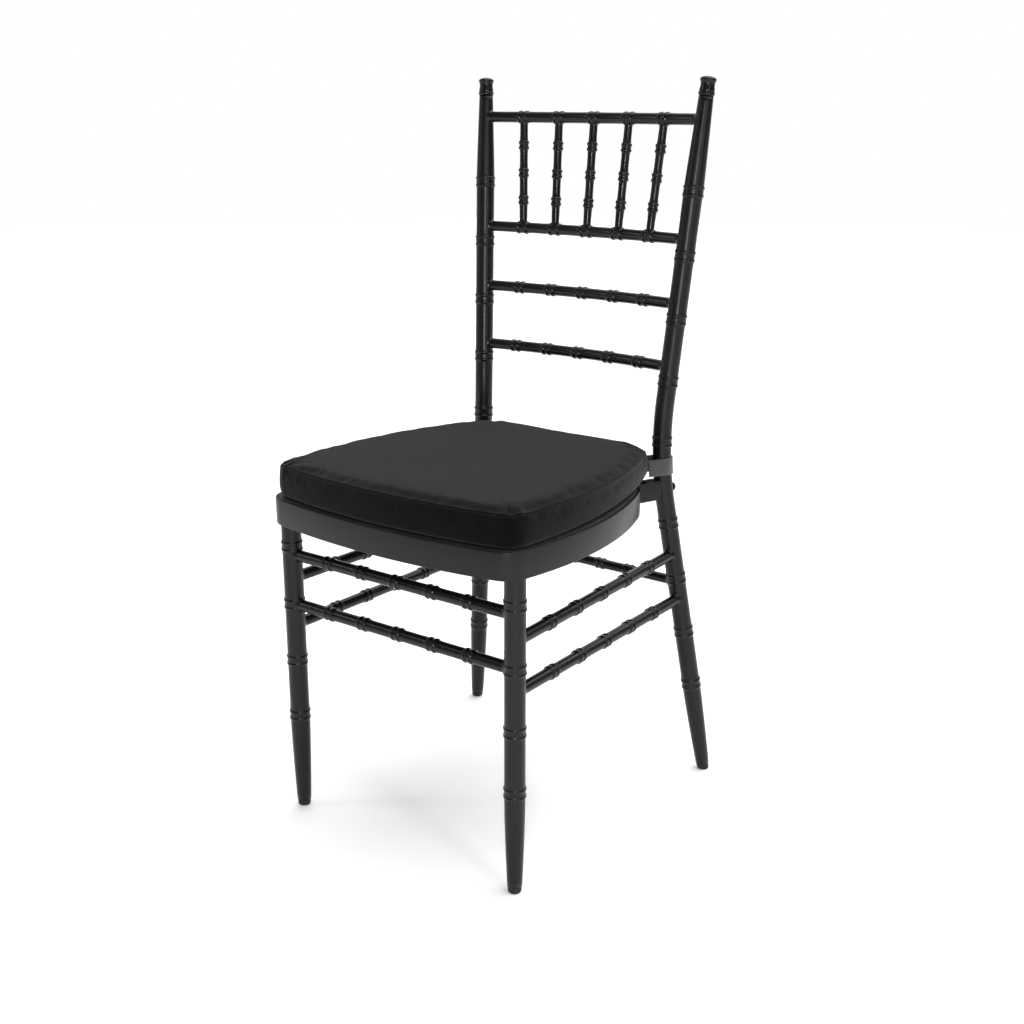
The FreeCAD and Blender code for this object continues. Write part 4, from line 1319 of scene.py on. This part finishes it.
class CHAIR_OT_stage(bpy.types.Operator):
    """Set up the pale floor, the soft lights and the camera of the photograph"""
    bl_idname = "chair.stage"
    bl_label = "Set up stage"

    def execute(self, context):
        scene = context.scene
        look = scene.chair_look
        turns = [2 * math.pi * i / FLOOR_SEGMENTS for i in range(FLOOR_SEGMENTS)]
        rim = [Vector((math.cos(turn), math.sin(turn), 0)) * FLOOR_RADIUS for turn in turns]
        floor = new_piece("floor", rim, [tuple(range(FLOOR_SEGMENTS))], False)
        floor.data.materials.append(stage_material("floor_white", (0.93, 0.93, 0.93)))
        self.world(scene, look)
        self.sun(look)
        area_light("right_softbox", (2.3, -0.9, 1.5), (0.0, 0.0, 0.55), 0.35, 1.7, look.side_power * 0.36)
        area_light("left_softbox", (-2.0, -1.6, 1.7), (0.0, 0.0, 0.5), 0.3, 1.6, look.side_power * 0.25)
        area_light("high_panel", (1.22, -1.63, 0.84), (0.0, 0.1, 0.9), 0.25, 0.35, look.side_power * 0.6)
        scene.view_settings.view_transform = "Standard"
        self.camera(scene)
        return {"FINISHED"}

    def world(self, scene, look):
        """White to the camera; the light on the chair is white from behind and dim from in front."""
        world = bpy.data.worlds.new("studio")
        scene.world = world
        world.use_nodes = True
        tree = world.node_tree
        background = tree.nodes["Background"]
        place = tree.nodes.new("ShaderNodeTexCoord")
        dot = tree.nodes.new("ShaderNodeVectorMath")
        dot.operation = "DOT_PRODUCT"
        dot.inputs[1].default_value = (-0.5983, 0.8013, 0.0)
        tree.links.new(place.outputs["Generated"], dot.inputs[0])
        spread = tree.nodes.new("ShaderNodeMapRange")
        spread.interpolation_type = "SMOOTHSTEP"
        spread.inputs["From Min"].default_value = 0.15
        spread.inputs["From Max"].default_value = 0.85
        spread.inputs["To Min"].default_value = look.fill
        spread.inputs["To Max"].default_value = 1.0
        tree.links.new(dot.outputs["Value"], spread.inputs["Value"])
        background.inputs["Color"].default_value = (1.0, 1.0, 1.0, 1.0)
        path = tree.nodes.new("ShaderNodeLightPath")
        seen = math_node(tree, "MAXIMUM", (200, 0), spread.outputs["Result"], path.outputs["Is Camera Ray"])
        tree.links.new(seen, background.inputs["Strength"])

    def sun(self, look):
        """Broad overhead light, even all over the floor."""
        light = bpy.data.lights.new("overhead", "SUN")
        light.energy = look.overhead
        light.angle = math.radians(75)
        lamp = bpy.data.objects.new("overhead", light)
        lamp.rotation_euler = Vector((-0.15, -0.3, -1.0)).to_track_quat("-Z", "Y").to_euler()
        bpy.context.scene.collection.objects.link(lamp)

    def camera(self, scene):
        """Camera solved from the photograph: lens, direction and distance."""
        back = Vector((math.sin(CAMERA_AZIMUTH) * math.cos(CAMERA_ELEVATION),
                       -math.cos(CAMERA_AZIMUTH) * math.cos(CAMERA_ELEVATION), math.sin(CAMERA_ELEVATION)))
        right = Vector((math.cos(CAMERA_AZIMUTH), math.sin(CAMERA_AZIMUTH), 0))
        up = back.cross(right)
        tilted_right = right * math.cos(CAMERA_ROLL) + up * math.sin(CAMERA_ROLL)
        tilted_up = up * math.cos(CAMERA_ROLL) - right * math.sin(CAMERA_ROLL)
        data = bpy.data.cameras.new("photo_camera")
        data.sensor_width = 36.0
        data.lens = CAMERA_LENS
        camera = bpy.data.objects.new("photo_camera", data)
        turn = Matrix((tilted_right, tilted_up, back)).transposed().to_4x4()
        place = (CAMERA_TARGET + back * CAMERA_DISTANCE) * MM
        camera.matrix_world = Matrix.Translation(place) @ turn
        scene.collection.objects.link(camera)
        scene.camera = camera


class CHAIR_PT_panel(bpy.types.Panel):
    """Settings and steps of the chair"""
    bl_label = "Chair"
    bl_idname = "CHAIR_PT_panel"
    bl_space_type = "VIEW_3D"
    bl_region_type = "UI"
    bl_category = "Chair"

    def draw(self, context):
        look = context.scene.chair_look
        for name in ChairLook.__annotations__:
            self.layout.prop(look, name)
        for step in STEPS:
            self.layout.operator("chair." + step)


STEPS = ("materials", "uprights", "finials", "glides", "stretchers", "rails", "spindles", "apron", "fixings",
         "cushion", "straps", "stage")
CLASSES = (ChairLook, CHAIR_OT_materials, CHAIR_OT_uprights, CHAIR_OT_finials, CHAIR_OT_glides,
           CHAIR_OT_stretchers, CHAIR_OT_rails, CHAIR_OT_spindles, CHAIR_OT_apron, CHAIR_OT_fixings,
           CHAIR_OT_cushion, CHAIR_OT_straps, CHAIR_OT_stage, CHAIR_PT_panel)


def register():
    for item in CLASSES:
        bpy.utils.register_class(item)
    bpy.types.Scene.chair_look = PointerProperty(type=ChairLook)


def unregister():
    del bpy.types.Scene.chair_look
    for item in reversed(CLASSES):
        bpy.utils.unregister_class(item)


def main():
    register()
    for step in STEPS:
        getattr(bpy.ops.chair, step)()


if __name__ == "__main__":
    main()
